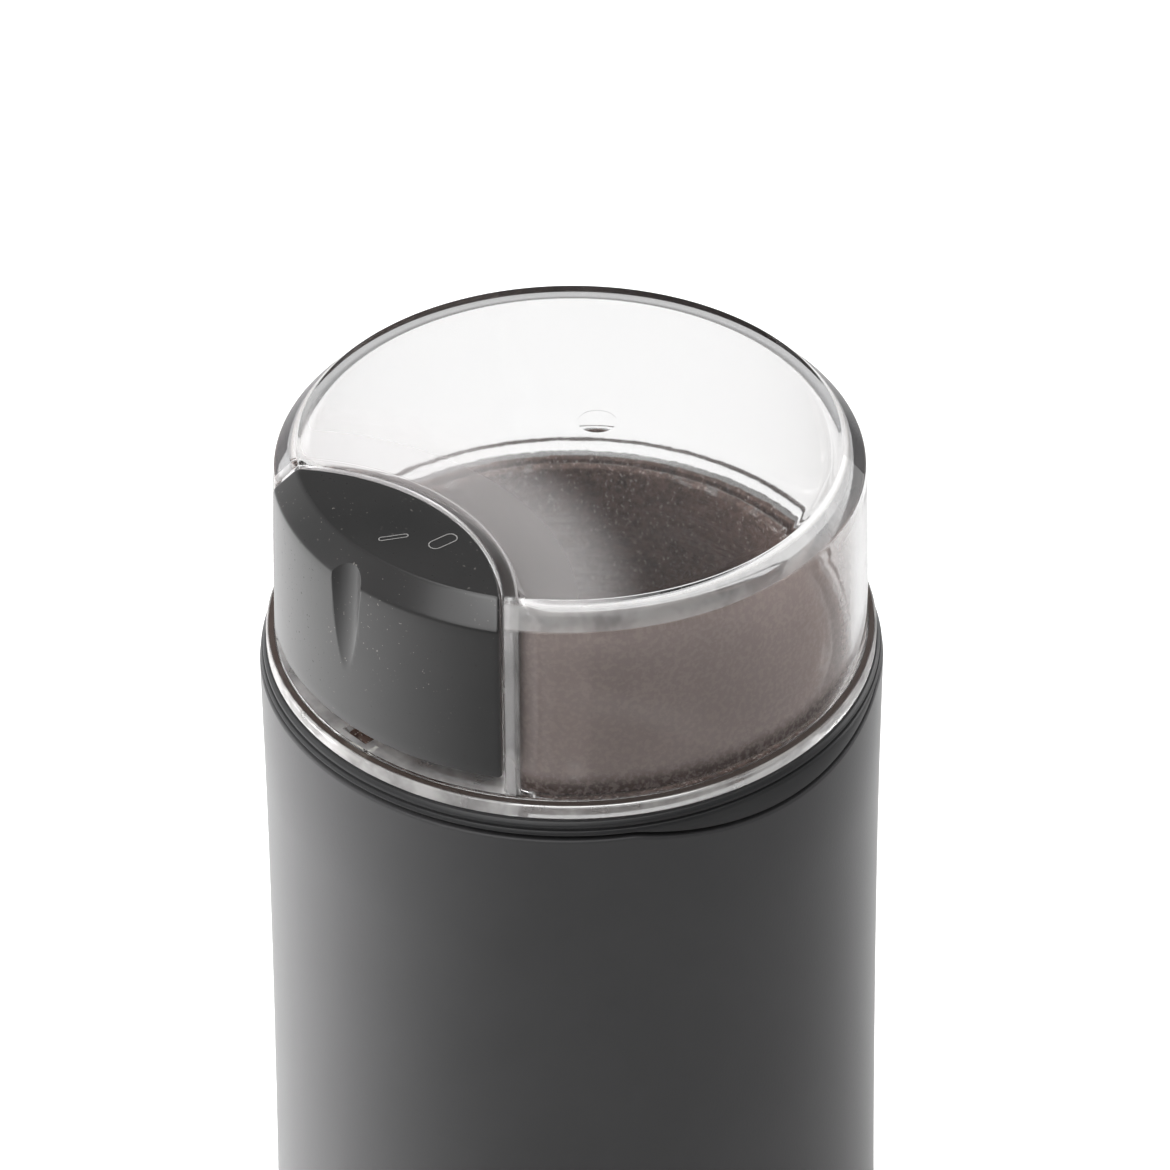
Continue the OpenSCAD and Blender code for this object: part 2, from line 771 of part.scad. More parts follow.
module blade() {
    color("#cfd1d3") difference() {
        union() {
            bar(hub_r + 1, blade_z, blade_z + blade_t);
            translate([0, 0, blade_z + blade_t / 2]) blade_arm(blade_bend);
            translate([0, 0, blade_z + blade_t / 2]) rotate([0, 0, 180]) blade_arm(-blade_bend);
        }
        bar(thread_r + seat, blade_z - 3, blade_z + 5);
        bar(hub_r + 2, blade_z - 3, blade_z);
        bar(hub_r + 2, blade_z + blade_t, blade_z + 5);
    }
}

module blade_hub() {
    color("#2a2a2c") rotate_extrude() polygon([[thread_r + seat, hub_z], [hub_r - 0.6, hub_z],
        [hub_r, hub_z + 0.6], [hub_r, blade_z], [thread_r + seat, blade_z]]);
}

module blade_nut() {
    color("#b4b7ba") difference() {
        union() {
            translate([0, 0, nut_z]) cylinder(r = thread_r + 2.3, h = nut_h - 2.4, $fn = 6);
            rotate_extrude() polygon(concat([[0, nut_z]],
                [[thread_r + 1.5, nut_z], [thread_r + 1.5, nut_z + nut_h - 2.4]],
                arc(0, nut_z + nut_h - 2.4, thread_r + 1.3, 0, 90)));
        }
        bar(thread_r + seat, nut_z - eps, nut_z + nut_h - 1.9);
    }
}

module drive_shaft() {
    top = nut_z + nut_h - 2.1;
    color("#9fa3a6") rotate_extrude() polygon([[0, shaft_low], [shaft_r - 0.4, shaft_low],
        [shaft_r, shaft_low + 0.4], [shaft_r, hub_z], [thread_r, hub_z], [thread_r, top - 0.4],
        [thread_r - 0.4, top], [0, top]]);
}

module shaft_seal() {
    z0 = neck_top - 5;
    color("#6e2f26") rotate_extrude() polygon([[shaft_r + run, z0 + 1.4], [shaft_r + 0.6, z0],
        [bearing_r - seat, z0], [bearing_r - seat, neck_top - 0.4], [shaft_r + run, neck_top - 0.4]]);
}

module bearing(z, h) {
    color("#a5763c") tube(bearing_r - seat, shaft_r + run, z, z + h);
}

module upper_bearing() {
    bearing(upper_plate_z + 0.3, bearing_h);
}

module lower_bearing() {
    bearing(lower_plate_z - 3, low_bearing_h);
}

// A motor plate with its air windows and its four posts
module motor_plate(z, post_z0, post_z1) {
    difference() {
        plate(2 * screw_xy[0] + 9, 2 * screw_xy[1] + 8.6, 5, z, plate_t);
        for (s = [-1, 1]) translate([s * 15.5, 0, 0]) plate(8, 24, 2, z - eps, plate_t + 2 * eps);
    }
    at_four(screw_xy) bar(3.2, post_z0, post_z1);
}

module upper_bracket() {
    bore_low = upper_plate_z + 0.3;
    color("#a7abae") difference() {
        union() {
            motor_plate(upper_plate_z, stack_top, upper_plate_z + 0.2);
            bar(neck_r, upper_plate_z, neck_top);
        }
        bar(shaft_r + 0.6, upper_plate_z - eps, neck_top + eps);
        bar(bearing_r, bore_low, bore_low + bearing_h);
        bar(bearing_r, neck_top - 5, neck_top + eps);
        at_four(screw_xy) bar(screw_r + 0.05, stack_top - eps, stack_top + 6.5);
        at_four(screw_xy) bar(screw_r + 0.05, stack_top + 7.5, upper_plate_z + plate_t + eps);
    }
}

module lower_bracket() {
    top = lower_plate_z + plate_t;
    color("#a7abae") difference() {
        union() {
            motor_plate(lower_plate_z, top - 0.2, stack_bottom);
            bar(neck_r + 1, lower_plate_z - 3, lower_plate_z + low_bearing_h - 3);
        }
        bar(bearing_r, lower_plate_z - 3 - eps, lower_plate_z + low_bearing_h);
        at_four(screw_xy) bar(screw_r + 0.1, lower_plate_z - eps, stack_bottom + eps);
    }
}

module motor_mounts() {
    z0 = upper_plate_z + plate_t;
    color("#1a1a1a") at_four(screw_xy) rotate_extrude() polygon([[screw_r + 0.3, z0], [5, z0],
        [5, z0 + 1.6], [4.2, z0 + 2], [4.2, z0 + 3], [5, z0 + 3.4], [5, z0 + mount_h],
        [screw_r + 0.3, z0 + mount_h]]);
}

module mount_screws() {
    length = carrier_floor_t + mount_h + plate_t + 1;
    color("#8d9094") at_four(screw_xy) translate([0, 0, carrier_floor_top + screw_head_h])
        mirror([0, 0, 1])
        screw(screw_head_r, screw_head_h, screw_r, 0, screw_head_h + length);
}

module motor_screws() {
    color("#8d9094") at_four(screw_xy)
        screw(screw_head_r, screw_head_h, screw_r, lower_plate_z - screw_head_h, stack_top + 6);
}

// Two-pole laminations: poles left and right, yokes front and rear
module stator_core() {
    slot_y = bore_r - 0.2;
    color("#6b6f73") difference() {
        plate(2 * stator_x, 2 * stator_y, 5, stack_bottom, stack_h);
        bar(bore_r, stack_bottom - eps, stack_top + eps);
        for (s = [-1, 1]) translate([0, s * (slot_y + window_y) / 2, stack_bottom - eps])
            linear_extrude(stack_h + 2 * eps) square([2 * coil_out_x + 1, window_y - slot_y],
                center = true);
        at_four([(coil_in_x + coil_out_x) / 2 - 0.35, (pole_w / 2 + window_y) / 2])
            translate([0, 0, stack_bottom - eps]) linear_extrude(stack_h + 2 * eps)
            square([coil_out_x - coil_in_x + 1.7, window_y - pole_w / 2], center = true);
        at_four(screw_xy) bar(screw_r + 0.1, stack_bottom - eps, stack_top + eps);
    }
}

module field_coils() {
    outer_z = stack_h + 2 * coil_head_h;
    mid_z = (stack_top + stack_bottom) / 2;
    color("#a1562b") for (s = [0, 1]) mirror([s, 0, 0]) translate([coil_in_x + 0.2, 0, mid_z])
        rotate([90, 0, 90]) linear_extrude(coil_out_x - coil_in_x - 0.4) difference() {
            polygon(rounded(2 * coil_half_w, outer_z, 4));
            polygon(rounded(pole_w + 0.6, stack_h + 0.6, 1, 2));
        }
}

module thermal_fuse() {
    x = (coil_in_x + coil_out_x) / 2;
    z = stack_top + coil_head_h + 2;
    color("#d8d2c4") translate([x, 0, z]) rotate([90, 0, 0]) {
        translate([0, 0, -4.5]) cylinder(r = 2, h = 9);
        translate([0, 0, -7]) cylinder(r = 0.5, h = 14, $fn = 24);
    }
}

// A lead of straight runs with round elbows
module wire(points) {
    for (i = [0:len(points) - 2]) {
        run_v = points[i + 1] - points[i];
        translate(points[i])
            rotate([0, acos(run_v[2] / norm(run_v)), atan2(run_v[1], run_v[0])])
            cylinder(r = wire_r, h = norm(run_v));
        if (i > 0) translate(points[i]) sphere(r = wire_r + seat);
    }
}

// The run that ends square on a field coil's side
function coil_run(side) = [
    [side * (coil_x - 4.7), side * -(coil_half_w + 5.2), coil_wire_z],
    [side * coil_x, side * -(coil_half_w + 2.2), coil_wire_z],
    [side * coil_x, side * -coil_half_w, coil_wire_z]];

// Leads from the switch to the front brush and a coil, and from the rear brush to the other coil
module motor_leads() {
    tag_y = holder_y + holder_l;
    front_y = -switch_in_y - first_tab;
    last_y = -switch_in_y - last_tab;
    over_z = brush_z + brush_h + 0.9 + wire_r;
    color("#d9d9d6") {
        wire([[0, front_y, tab_low], [0, front_y, tag_z]]);
        block([-1.5, front_y - 0.5, tag_z - 0.8], [1.5, -tag_y, tag_z + 3.2]);
        wire(concat([[0, last_y, tab_low], [0, last_y, tab_low - 4],
            [coil_x - 10.2, -(coil_half_w + 11.7), stack_bottom]], coil_run(1)));
        block([-1.5, tag_y, tag_z - 0.8], [1.5, tag_y + 1.4, tag_z + 3.2]);
        wire(concat([[0, tag_y + wire_r, tag_z], [0, tag_y + wire_r, over_z],
            [-(coil_x - 10.2), tag_y - 1, coil_wire_z]], coil_run(-1)));
    }
}

module slots(grow) {
    for (i = [0:slot_count - 1]) rotate([0, 0, 360 * i / slot_count])
        translate([slot_ring, 0, 0]) bar(slot_r + grow, stack_bottom - 0.5, stack_top + 0.5);
}

module armature_core() {
    color("#74787c") difference() {
        bar(armature_r, stack_bottom, stack_top);
        slots(0);
        for (i = [0:slot_count - 1]) rotate([0, 0, 360 * i / slot_count])
            block([slot_ring, -0.7, stack_bottom - eps], [armature_r + eps, 0.7, stack_top + eps]);
        bar(shaft_r + seat, stack_bottom - eps, stack_top + eps);
    }
}

// Wire heads above and below the core, joined by the wires in its slots
module armature_winding() {
    low = comm_z + comm_h;
    color("#b5622c") union() {
        rotate_extrude() polygon([[shaft_r + 0.4, stack_top], [head_r, stack_top],
            [head_r, stack_top + head_h - 2.4], [head_r - 2.4, stack_top + head_h],
            [shaft_r + 1.6, stack_top + head_h], [shaft_r + 0.4, stack_top + head_h - 2]]);
        rotate_extrude() polygon([[shaft_r + 0.4, low], [head_r - 3, low],
            [head_r, low + 2], [head_r, stack_bottom], [shaft_r + 0.4, stack_bottom]]);
        slots(-0.2);
    }
}

module commutator() {
    color("#b87333") difference() {
        rotate_extrude() polygon([[shaft_r + seat, comm_z], [commutator_r, comm_z],
            [commutator_r, comm_z + comm_h - 2], [commutator_r + 1.3, comm_z + comm_h - 1.6],
            [commutator_r + 1.3, comm_z + comm_h], [shaft_r + seat, comm_z + comm_h]]);
        for (i = [0:slot_count - 1]) rotate([0, 0, 360 * (i + 0.5) / slot_count])
            block([commutator_r - 0.8, -0.3, comm_z - eps], [commutator_r + 3, 0.3,
                comm_z + comm_h + eps]);
    }
}

module for_both_brushes() {
    for (a = [0, 180]) rotate([0, 0, a]) children();
}

module carbon_brushes() {
    color("#3b3b3b") for_both_brushes()
        block([-brush_w / 2, brush_y, brush_z], [brush_w / 2, brush_y + brush_l, brush_z + brush_h]);
}

// Square brass tubes with a closed rear end, each on its foot
module brush_holders() {
    out = 0.9;
    clear = 0.15;
    foot_z = lower_plate_z + plate_t;
    color("#b08d3f") for_both_brushes() {
        difference() {
            block([-brush_w / 2 - out, holder_y, brush_z - out],
                [brush_w / 2 + out, holder_y + holder_l, brush_z + brush_h + out]);
            block([-brush_w / 2 - clear, holder_y - eps, brush_z - clear],
                [brush_w / 2 + clear, holder_y + holder_l - 1, brush_z + brush_h + clear]);
        }
        block([-2, holder_y + 2, foot_z], [2, holder_y + 9, brush_z - out + 0.2]);
    }
}

module brush_springs() {
    y0 = brush_y + brush_l;
    color("#b9bcc0") for_both_brushes() translate([0, y0, brush_z + brush_h / 2])
        rotate([-90, 0, 0]) coil(1.8, 0.2, 0, holder_y + holder_l - 1 - y0, 4, 10, 5);
}

module cooling_fan() {
    top = fan_z + fan_h;
    color("#3a4a52") difference() {
        union() {
            bar(shaft_r + 3, fan_z, top);
            bar(fan_r, top - 1.2, top);
            for (i = [0:fan_blades - 1]) rotate([0, 0, 360 * i / fan_blades])
                translate([shaft_r + 2.5, 0, fan_z + 1]) rotate([0, 0, 14])
                block([0, -0.6, 0], [fan_r - shaft_r - 3.6, 0.6, fan_h - 1.2]);
        }
        bar(shaft_r + seat, fan_z - eps, top + eps);
    }
}

// ---- Push rod and switch ----

module push_rod() {
    half = rod_w / 2;
    color("#d9d7cf") {
        block([-half, -rod_r - rod_t / 2, rod_shoulder], [half, -rod_r + rod_t / 2, rod_top]);
        translate([0, -rod_r, 0]) bar(stem_r, stem_end, rod_shoulder);
    }
}

module push_rod_spring() {
    color("#b9bcc0") translate([0, -rod_r, 0]) coil(rod_spring_r, 0.25, shelf_top, rod_shoulder, 8);
}

module switch_screw_holes(r) {
    for (y = switch_screw_y) translate([-15, -y, switch_screw_z]) rotate([0, 90, 0])
        cylinder(r = r, h = 30);
}

// The switch's case, with the two ears and the pin of its lever
module switch_body() {
    half = switch_t / 2;
    ear_x = lever_w / 2 + 0.25;
    color("#1f2a44") difference() {
        union() {
            block([-half, -switch_in_y - switch_l, switch_top - switch_h],
                [half, -switch_in_y, switch_top]);
            for (s = [0, 1]) mirror([s, 0, 0])
                block([ear_x, -pivot_y - 1.2, switch_top - 0.2], [half, -pivot_y + 1.2, pivot_z + 1.2]);
            translate([-half, -pivot_y, pivot_z]) rotate([0, 90, 0]) cylinder(r = 0.6, h = switch_t);
        }
        switch_screw_holes(switch_screw_r + 0.05);
        translate([0, -pivot_y - plunger_arm, 0]) bar(1.05, switch_top - 3, switch_top + eps);
    }
}

module switch_terminals() {
    low = switch_top - switch_h;
    color("#c9a24b") for (d = [first_tab, (first_tab + last_tab) / 2, last_tab])
        block([-2, -switch_in_y - d - 0.3, tab_low], [2, -switch_in_y - d + 0.3, low]);
}

// A steel strip whose eye turns on the switch's pin
module switch_lever() {
    color("#c0c2c5") translate([0, -pivot_y, pivot_z]) rotate([-lever_rest, 0, 0]) difference() {
        union() {
            block([-lever_w / 2, -lever_l, -lever_t / 2], [lever_w / 2, 0, lever_t / 2]);
            translate([-lever_w / 2, 0, 0]) rotate([0, 90, 0]) cylinder(r = 1.05, h = lever_w);
        }
        translate([-lever_w, 0, 0]) rotate([0, 90, 0]) cylinder(r = 0.6 + run, h = 2 * lever_w);
    }
}

module switch_plunger() {
    color("#c33b2f") translate([0, -pivot_y - plunger_arm, 0]) bar(0.95, switch_top - 1.6,
        plunger_top);
}

module switch_screws() {
    half = switch_t / 2;
    color("#8d9094") for (y = switch_screw_y) translate([-half - 1.2, -y, switch_screw_z])
        rotate([0, 90, 0]) {
            cylinder(r = 2, h = 1.2);
            cylinder(r = switch_screw_r, h = switch_t + 1.2 + web_t);
        }
}

outer_shell();
bowl_carrier();
base_cover();
rubber_feet();
base_screws();
carrier_screws();
lead_bush();
lid();
button();
button_springs();
grinding_bowl();
bowl_seal();
bowl_nut();
blade();
blade_hub();
blade_nut();
drive_shaft();
shaft_seal();
upper_bearing();
lower_bearing();
upper_bracket();
lower_bracket();
motor_mounts();
mount_screws();
motor_screws();
stator_core();
field_coils();
thermal_fuse();
motor_leads();
armature_core();
armature_winding();
commutator();
carbon_brushes();
brush_holders();
brush_springs();
cooling_fan();
push_rod();
push_rod_spring();
switch_body();
switch_terminals();
switch_lever();
switch_plunger();
switch_screws();
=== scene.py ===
# %% [markdown]
# # An electric spice grinder
# A blade grinder: a round satin body with the motor in it, a steel bowl on top,
# and a clear lid whose rim holds a sunk black press button. This notebook dresses
# the machine's construction model: it keeps every part in its place, gives each
# one a finish, and rebuilds the parts that the eye meets first with softer edges.
# All sizes below are millimetres until a mesh is made.

# %% Load the construction model
import math
import bmesh
import bpy
import numpy as np
from mathutils import Matrix, Vector


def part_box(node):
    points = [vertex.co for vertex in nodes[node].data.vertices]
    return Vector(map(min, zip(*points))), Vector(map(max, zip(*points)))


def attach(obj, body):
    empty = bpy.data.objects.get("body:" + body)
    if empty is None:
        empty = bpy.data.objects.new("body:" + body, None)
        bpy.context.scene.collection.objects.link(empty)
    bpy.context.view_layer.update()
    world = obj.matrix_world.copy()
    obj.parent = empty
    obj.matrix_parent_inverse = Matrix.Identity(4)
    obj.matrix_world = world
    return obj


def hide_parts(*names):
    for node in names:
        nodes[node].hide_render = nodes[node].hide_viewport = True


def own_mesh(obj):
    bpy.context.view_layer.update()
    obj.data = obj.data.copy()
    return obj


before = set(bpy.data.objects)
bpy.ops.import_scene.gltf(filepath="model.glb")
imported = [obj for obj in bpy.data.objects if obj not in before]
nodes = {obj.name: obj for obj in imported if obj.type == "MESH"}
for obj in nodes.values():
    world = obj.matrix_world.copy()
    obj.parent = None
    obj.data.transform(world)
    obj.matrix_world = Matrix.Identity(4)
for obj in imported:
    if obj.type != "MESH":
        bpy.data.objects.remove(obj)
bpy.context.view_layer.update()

MM = 0.001

# %% [markdown]
# ## The camera
# The machine is seen from close above its button, with the body running out of
# the picture below. A long lens keeps the rim's ellipse nearly free of
# perspective. The camera is placed by its own position, the point it looks at
# and a very small roll.

# %% The camera
eye = Vector((458.05, -427.14, 611.28)) * MM
target = Vector((10.50, -7.05, 154.72)) * MM
roll_degrees = 0.3797

camera_data = bpy.data.cameras.new("camera")
camera_data.lens = 164.345
camera_data.sensor_width = 36
camera_data.clip_start = 0.01
camera_data.clip_end = 50
camera = bpy.data.objects.new("camera", camera_data)
bpy.context.scene.collection.objects.link(camera)
aim = (target - eye).to_track_quat("-Z", "Y").to_matrix().to_4x4()
roll = Matrix.Rotation(math.radians(-roll_degrees), 4, "Z")
camera.matrix_world = Matrix.Translation(eye) @ aim @ roll
bpy.context.scene.camera = camera
bpy.context.scene.view_settings.view_transform = "Standard"
print("camera at", [round(v, 3) for v in eye])

# %% [markdown]
# ## Node trees as plain sums
# A node tree is easier to read as a formula. `Wire` wraps one socket, and adding
# or multiplying wires adds Math nodes. `Graph` makes any other node from its type,
# its settings and its sockets. `Finish` is a graph that ends in a material, and
# `Recipe` is one that ends in a shape. The nodes could be dragged together by hand,
# but then nobody could read why a mask is where it is.

# %% The wire and the graph
class Wire:
    """One socket of a node tree, which can be used in sums."""

    def __init__(self, graph, socket):
        self.graph = graph
        self.socket = socket

    def maths(self, how, *values):
        return self.graph.add("ShaderNodeMath", {"operation": how}, dict(enumerate(values)))

    def __add__(self, other): return self.maths("ADD", self, other)
    def __radd__(self, other): return self.maths("ADD", other, self)
    def __sub__(self, other): return self.maths("SUBTRACT", self, other)
    def __rsub__(self, other): return self.maths("SUBTRACT", other, self)
    def __mul__(self, other): return self.maths("MULTIPLY", self, other)
    def __rmul__(self, other): return self.maths("MULTIPLY", other, self)
    def __truediv__(self, other): return self.maths("DIVIDE", self, other)
    def __mod__(self, other): return self.maths("FLOORED_MODULO", self, other)
    def __pow__(self, other): return self.maths("POWER", self, other)
    def most(self, other): return self.maths("MAXIMUM", self, other)
    def floor(self): return self.maths("FLOOR", self)
    def sine(self): return self.maths("SINE", self)
    def cosine(self): return self.maths("COSINE", self)

    def spread(self, low, high, start=0.0, end=1.0):
        """Map low..high to start..end along a soft curve, and hold it past both."""
        values = {"Value": self, "From Min": low, "From Max": high, "To Min": start, "To Max": end}
        return self.graph.add("ShaderNodeMapRange", {"interpolation_type": "SMOOTHSTEP"}, values)

    def fade(self, full, gone):
        """1 up to one value, and down to 0 at the other."""
        return self.spread(full, gone, 1.0, 0.0)

    def within(self, start, full, fading, gone):
        """1 between full and fading, and 0 before start and past gone."""
        return self.spread(start, full) * self.fade(fading, gone)

    def parts(self):
        """The three coordinates of a vector as wires."""
        split = self.graph.add("ShaderNodeSeparateXYZ", {}, {0: self})
        return [Wire(self.graph, out) for out in split.socket.node.outputs]


class Graph:
    """A node tree that is written as formulas."""

    def __init__(self, tree):
        self.tree = tree
        self.tree.nodes.clear()

    def add(self, kind, settings=None, values=None, out=0):
        """A node from its type, its settings, and the values or wires of its sockets."""
        node = self.tree.nodes.new(kind)
        for key, value in (settings or {}).items():
            setattr(node, key, value)
        for key, value in (values or {}).items():
            if isinstance(value, Wire):
                self.tree.links.new(value.socket, node.inputs[key])
            else:
                node.inputs[key].default_value = value
        return Wire(self, node.outputs[out])


# %% The finish, for materials
class Finish(Graph):
    """The node tree of one material, or of the world."""

    def __init__(self, name, tree=None):
        if tree is None:
            self.material = bpy.data.materials.new(name)
            self.material.use_nodes = True
            tree = self.material.node_tree
        super().__init__(tree)

    def place(self, scale=(1, 1, 1)):
        """Object coordinates in metres, stretched or squeezed."""
        where = self.add("ShaderNodeTexCoord", out="Object")
        return self.add("ShaderNodeMapping", {}, {"Vector": where, "Scale": scale})

    def spot(self):
        """Where a point lies in millimetres: across, along, up, and out from the axis."""
        across, along, up = self.place(scale=(1000, 1000, 1000)).parts()
        return across, along, up, (across * across + along * along) ** 0.5

    def ray(self, kind):
        """1 where the light path is of one kind: Camera, Shadow, Glossy or Transmission."""
        return self.add("ShaderNodeLightPath", out="Is " + kind + " Ray")

    def noise(self, scale, detail=2.0, rough=0.5, at=None):
        """Soft random blots in space: the higher the scale, the smaller they are."""
        values = {"Scale": scale, "Detail": detail, "Roughness": rough}
        values["Vector"] = at or self.place()
        return self.add("ShaderNodeTexNoise", {}, values)

    def blend(self, share, first, second):
        """A colour between two colours. A Mix node's colour sockets are 6 and 7, its result 2."""
        values = {0: share}
        for key, colour in ((6, first), (7, second)):
            values[key] = (*colour, 1) if isinstance(colour, tuple) else colour
        return self.add("ShaderNodeMix", {"data_type": "RGBA"}, values, out=2)

    def wander(self, noise, first, second):
        """A colour that follows a noise from one colour to another."""
        return self.blend(noise.spread(0.3, 0.7), first, second)

    def bump(self, height, depth, strength=1.0):
        """Tiny relief: height is a wire from 0 to 1, depth is in metres."""
        return self.add("ShaderNodeBump", {}, {
            "Height": height, "Distance": depth, "Strength": strength})

    def surface(self, **values):
        """A Principled surface. An underscore stands for a space in a socket's name."""
        named = {}
        for key, value in values.items():
            if isinstance(value, tuple) and len(value) == 3:
                value = (*value, 1)
            named[key.replace("_", " ")] = value
        return self.add("ShaderNodeBsdfPrincipled", {}, named)

    def mixed(self, share, first, second):
        """One surface that turns into another where share is 1."""
        return self.add("ShaderNodeMixShader", {}, {0: share, 1: first, 2: second})

    def done(self, shader):
        """Put a shader on the material's output, and hand the material over."""
        output = self.tree.nodes.new("ShaderNodeOutputMaterial")
        self.tree.links.new(shader.socket, output.inputs["Surface"])
        return self.material


# %% The recipe, for shapes
class Recipe(Graph):
    """A Geometry Nodes tree with named sizes as its inputs."""

    def __init__(self, name, sizes):
        super().__init__(bpy.data.node_groups.new(name, "GeometryNodeTree"))
        face = self.tree.interface
        self.keys = {}
        for label, default in (("Start", None), *sizes.items()):
            kind = {type(None): "NodeSocketGeometry", int: "NodeSocketInt"}.get(
                type(default), "NodeSocketFloat")
            socket = face.new_socket(name=label, in_out="INPUT", socket_type=kind)
            self.keys[label] = socket.identifier
            if default is not None:
                socket.default_value = default
        face.new_socket(name="Shape", in_out="OUTPUT", socket_type="NodeSocketGeometry")
        start = self.tree.nodes.new("NodeGroupInput")
        self.inputs = {label: Wire(self, start.outputs[label]) for label in self.keys}

    def join_xyz(self, x, y, z):
        return self.add("ShaderNodeCombineXYZ", {}, {0: x, 1: y, 2: z})

    def end(self, shape, material):
        """Make copies real, give the shape its material and send it out."""
        real = self.add("GeometryNodeRealizeInstances", {}, {0: shape})
        coated = self.add("GeometryNodeSetMaterial", {}, {"Geometry": real, "Material": material})
        output = self.tree.nodes.new("NodeGroupOutput")
        self.tree.links.new(coated.socket, output.inputs["Shape"])

    def use_on(self, piece, **sizes):
        """Run the recipe on a piece, and keep the result as its plain mesh."""
        step = piece.modifiers.new(self.tree.name, "NODES")
        step.node_group = self.tree
        for label, value in sizes.items():
            step[self.keys[label.replace("_", " ")]] = value
        return settle(piece)


print("graph helpers are ready")

# %% [markdown]
# ## Floor, light and surroundings
# The machine stands on white paper in a bright room. The paper and the room are
# white to the eye. In gloss and through the clear lid they are bright behind the
# machine and to its left, and dim in front of it and overhead: that is what
# draws a pale edge and a dark middle on a round black body. Black cards round a
# white table would do the same in a studio. Light Path nodes do it without props.

# %% How bright each direction is
bright_way = Vector((-0.99, 0.12))


def brightness(across, along, dimmest, blur):
    """1 towards the bright side of the room, dimmest across from it, even within the blur."""
    length = (across * across + along * along + blur * blur) ** 0.5
    facing = (across * bright_way.x + along * bright_way.y) / length
    return facing.spread(-0.55, 0.55, dimmest, 1.0)


# %% The floor
white = (1, 1, 1, 1)


def paper():
    """Plain paper to the eye, and a bright or dim field in gloss and through the lid."""
    finish = Finish("floor_paper")
    colour = finish.wander(finish.noise(3.0), (0.84, 0.84, 0.84), (0.86, 0.86, 0.86))
    matt = finish.add("ShaderNodeBsdfDiffuse", {}, {"Color": colour})
    lift = finish.add("ShaderNodeEmission", {}, {"Color": white, "Strength": 0.45})
    lifted = finish.add("ShaderNodeAddShader", {}, {0: matt, 1: lift})
    across, along, _, out = finish.spot()
    through = finish.ray("Transmission")
    far = out.spread(350, 1200, 1.0, 0.4).most(through)
    strength = brightness(across, along, 0.30, 1.0) * far * (through * 0.2 + 1.0)
    glow = finish.add("ShaderNodeEmission", {}, {"Color": white, "Strength": strength})
    shown = finish.mixed(finish.ray("Camera"), matt, lifted)
    return finish.done(finish.mixed(finish.ray("Glossy").most(through), shown, glow))


def ground():
    """A square of paper, in metres, under the machine."""
    half = 3.0
    corners = [(-half, -half, 0), (half, -half, 0), (half, half, 0), (-half, half, 0)]
    mesh = bpy.data.meshes.new("floor")
    mesh.from_pydata(corners, [], [(0, 1, 2, 3)])
    mesh.materials.append(paper())
    floor = bpy.data.objects.new("floor", mesh)
    bpy.context.scene.collection.objects.link(floor)


ground()
print("floor is laid")

# %% The world
window_way = Vector((0.211, -0.649, 0.731))   # a window high up that only gloss shows


def white_room():
    """One strength for what the room lights, one for what gloss shows, and plain white."""
    world = bpy.data.worlds.new("white_room")
    bpy.context.scene.world = world
    world.use_nodes = True
    room = Finish("white_room", world.node_tree)
    across, along, up = room.add("ShaderNodeTexCoord", out="Generated").parts()
    is_through = room.ray("Transmission")   # 1 for light on its way through the lid
    walls = brightness(across, along, 0.16, 0.25)
    for_light = walls * up.spread(0.15, 0.75, 1.45, 0.5)
    for_gloss = walls * up.spread(-0.05, 0.30, 0.40, 0.10)
    # What shows through the lid is brighter than what gloss mirrors.
    for_gloss = for_gloss.most(walls * up.spread(0.0, 0.6, 1.2, 0.3) * is_through)
    window = across * window_way.x + along * window_way.y + up * window_way.z
    for_gloss = for_gloss.most(window.spread(0.905, 0.93, 0.0, 1.5))
    lit, mirrored, plain = [
        room.add("ShaderNodeBackground", {}, {"Color": white, "Strength": strength})
        for strength in (for_light, for_gloss, 1.0)]
    unseen = room.mixed(room.ray("Glossy").most(is_through), lit, mirrored)
    shown = room.mixed(room.ray("Camera"), unseen, plain)
    output = room.tree.nodes.new("ShaderNodeOutputWorld")
    room.tree.links.new(shown.socket, output.inputs["Surface"])


white_room()
print("room has", len(bpy.context.scene.world.node_tree.nodes), "nodes")

# %% [markdown]
# The lamps are three large soft panels. A single sun would draw hard shadows that a
# bright room doesn't have, and small lamps would leave dots in the gloss. The large
# left window lights the body's pale side, the other two fill in its shade.

# %% The lamps
def soft_lamp(name, place, aim_at, width, height, watts):
    data = bpy.data.lights.new(name, "AREA")
    data.shape = "RECTANGLE"
    data.size = width
    data.size_y = height
    data.energy = watts
    lamp = bpy.data.objects.new(name, data)
    bpy.context.scene.collection.objects.link(lamp)
    lamp.location = place
    lamp.rotation_euler = (Vector(aim_at) - Vector(place)).to_track_quat("-Z", "Y").to_euler()
    return lamp


middle = (0, 0, 0.12)
left = soft_lamp("left_window", (-1.15, -0.50, 0.30), middle, 1.0, 0.9, 38)
left.visible_glossy = False
soft_lamp("right_window", (0.30, 1.2, 0.40), middle, 0.8, 1.0, 5)
soft_lamp("top_panel", (0.2, -0.2, 1.3), middle, 1.2, 1.2, 8)
print("three lamps are set")

# %% [markdown]
# ## Making round parts
# Most of this machine is turned: a flat outline swept about the upright axis. The
# Screw modifier could do that. Points and faces that are written out do the same for
# lofts too, where the outline changes from level to level. `soften` rounds the
# corners of an outline, because no moulded edge is sharp and a rounded edge is what
# catches the light. `turned` sweeps it, `lofted` joins level outlines, and `build`
# makes the object, merges the doubled points on its axis and shades it.

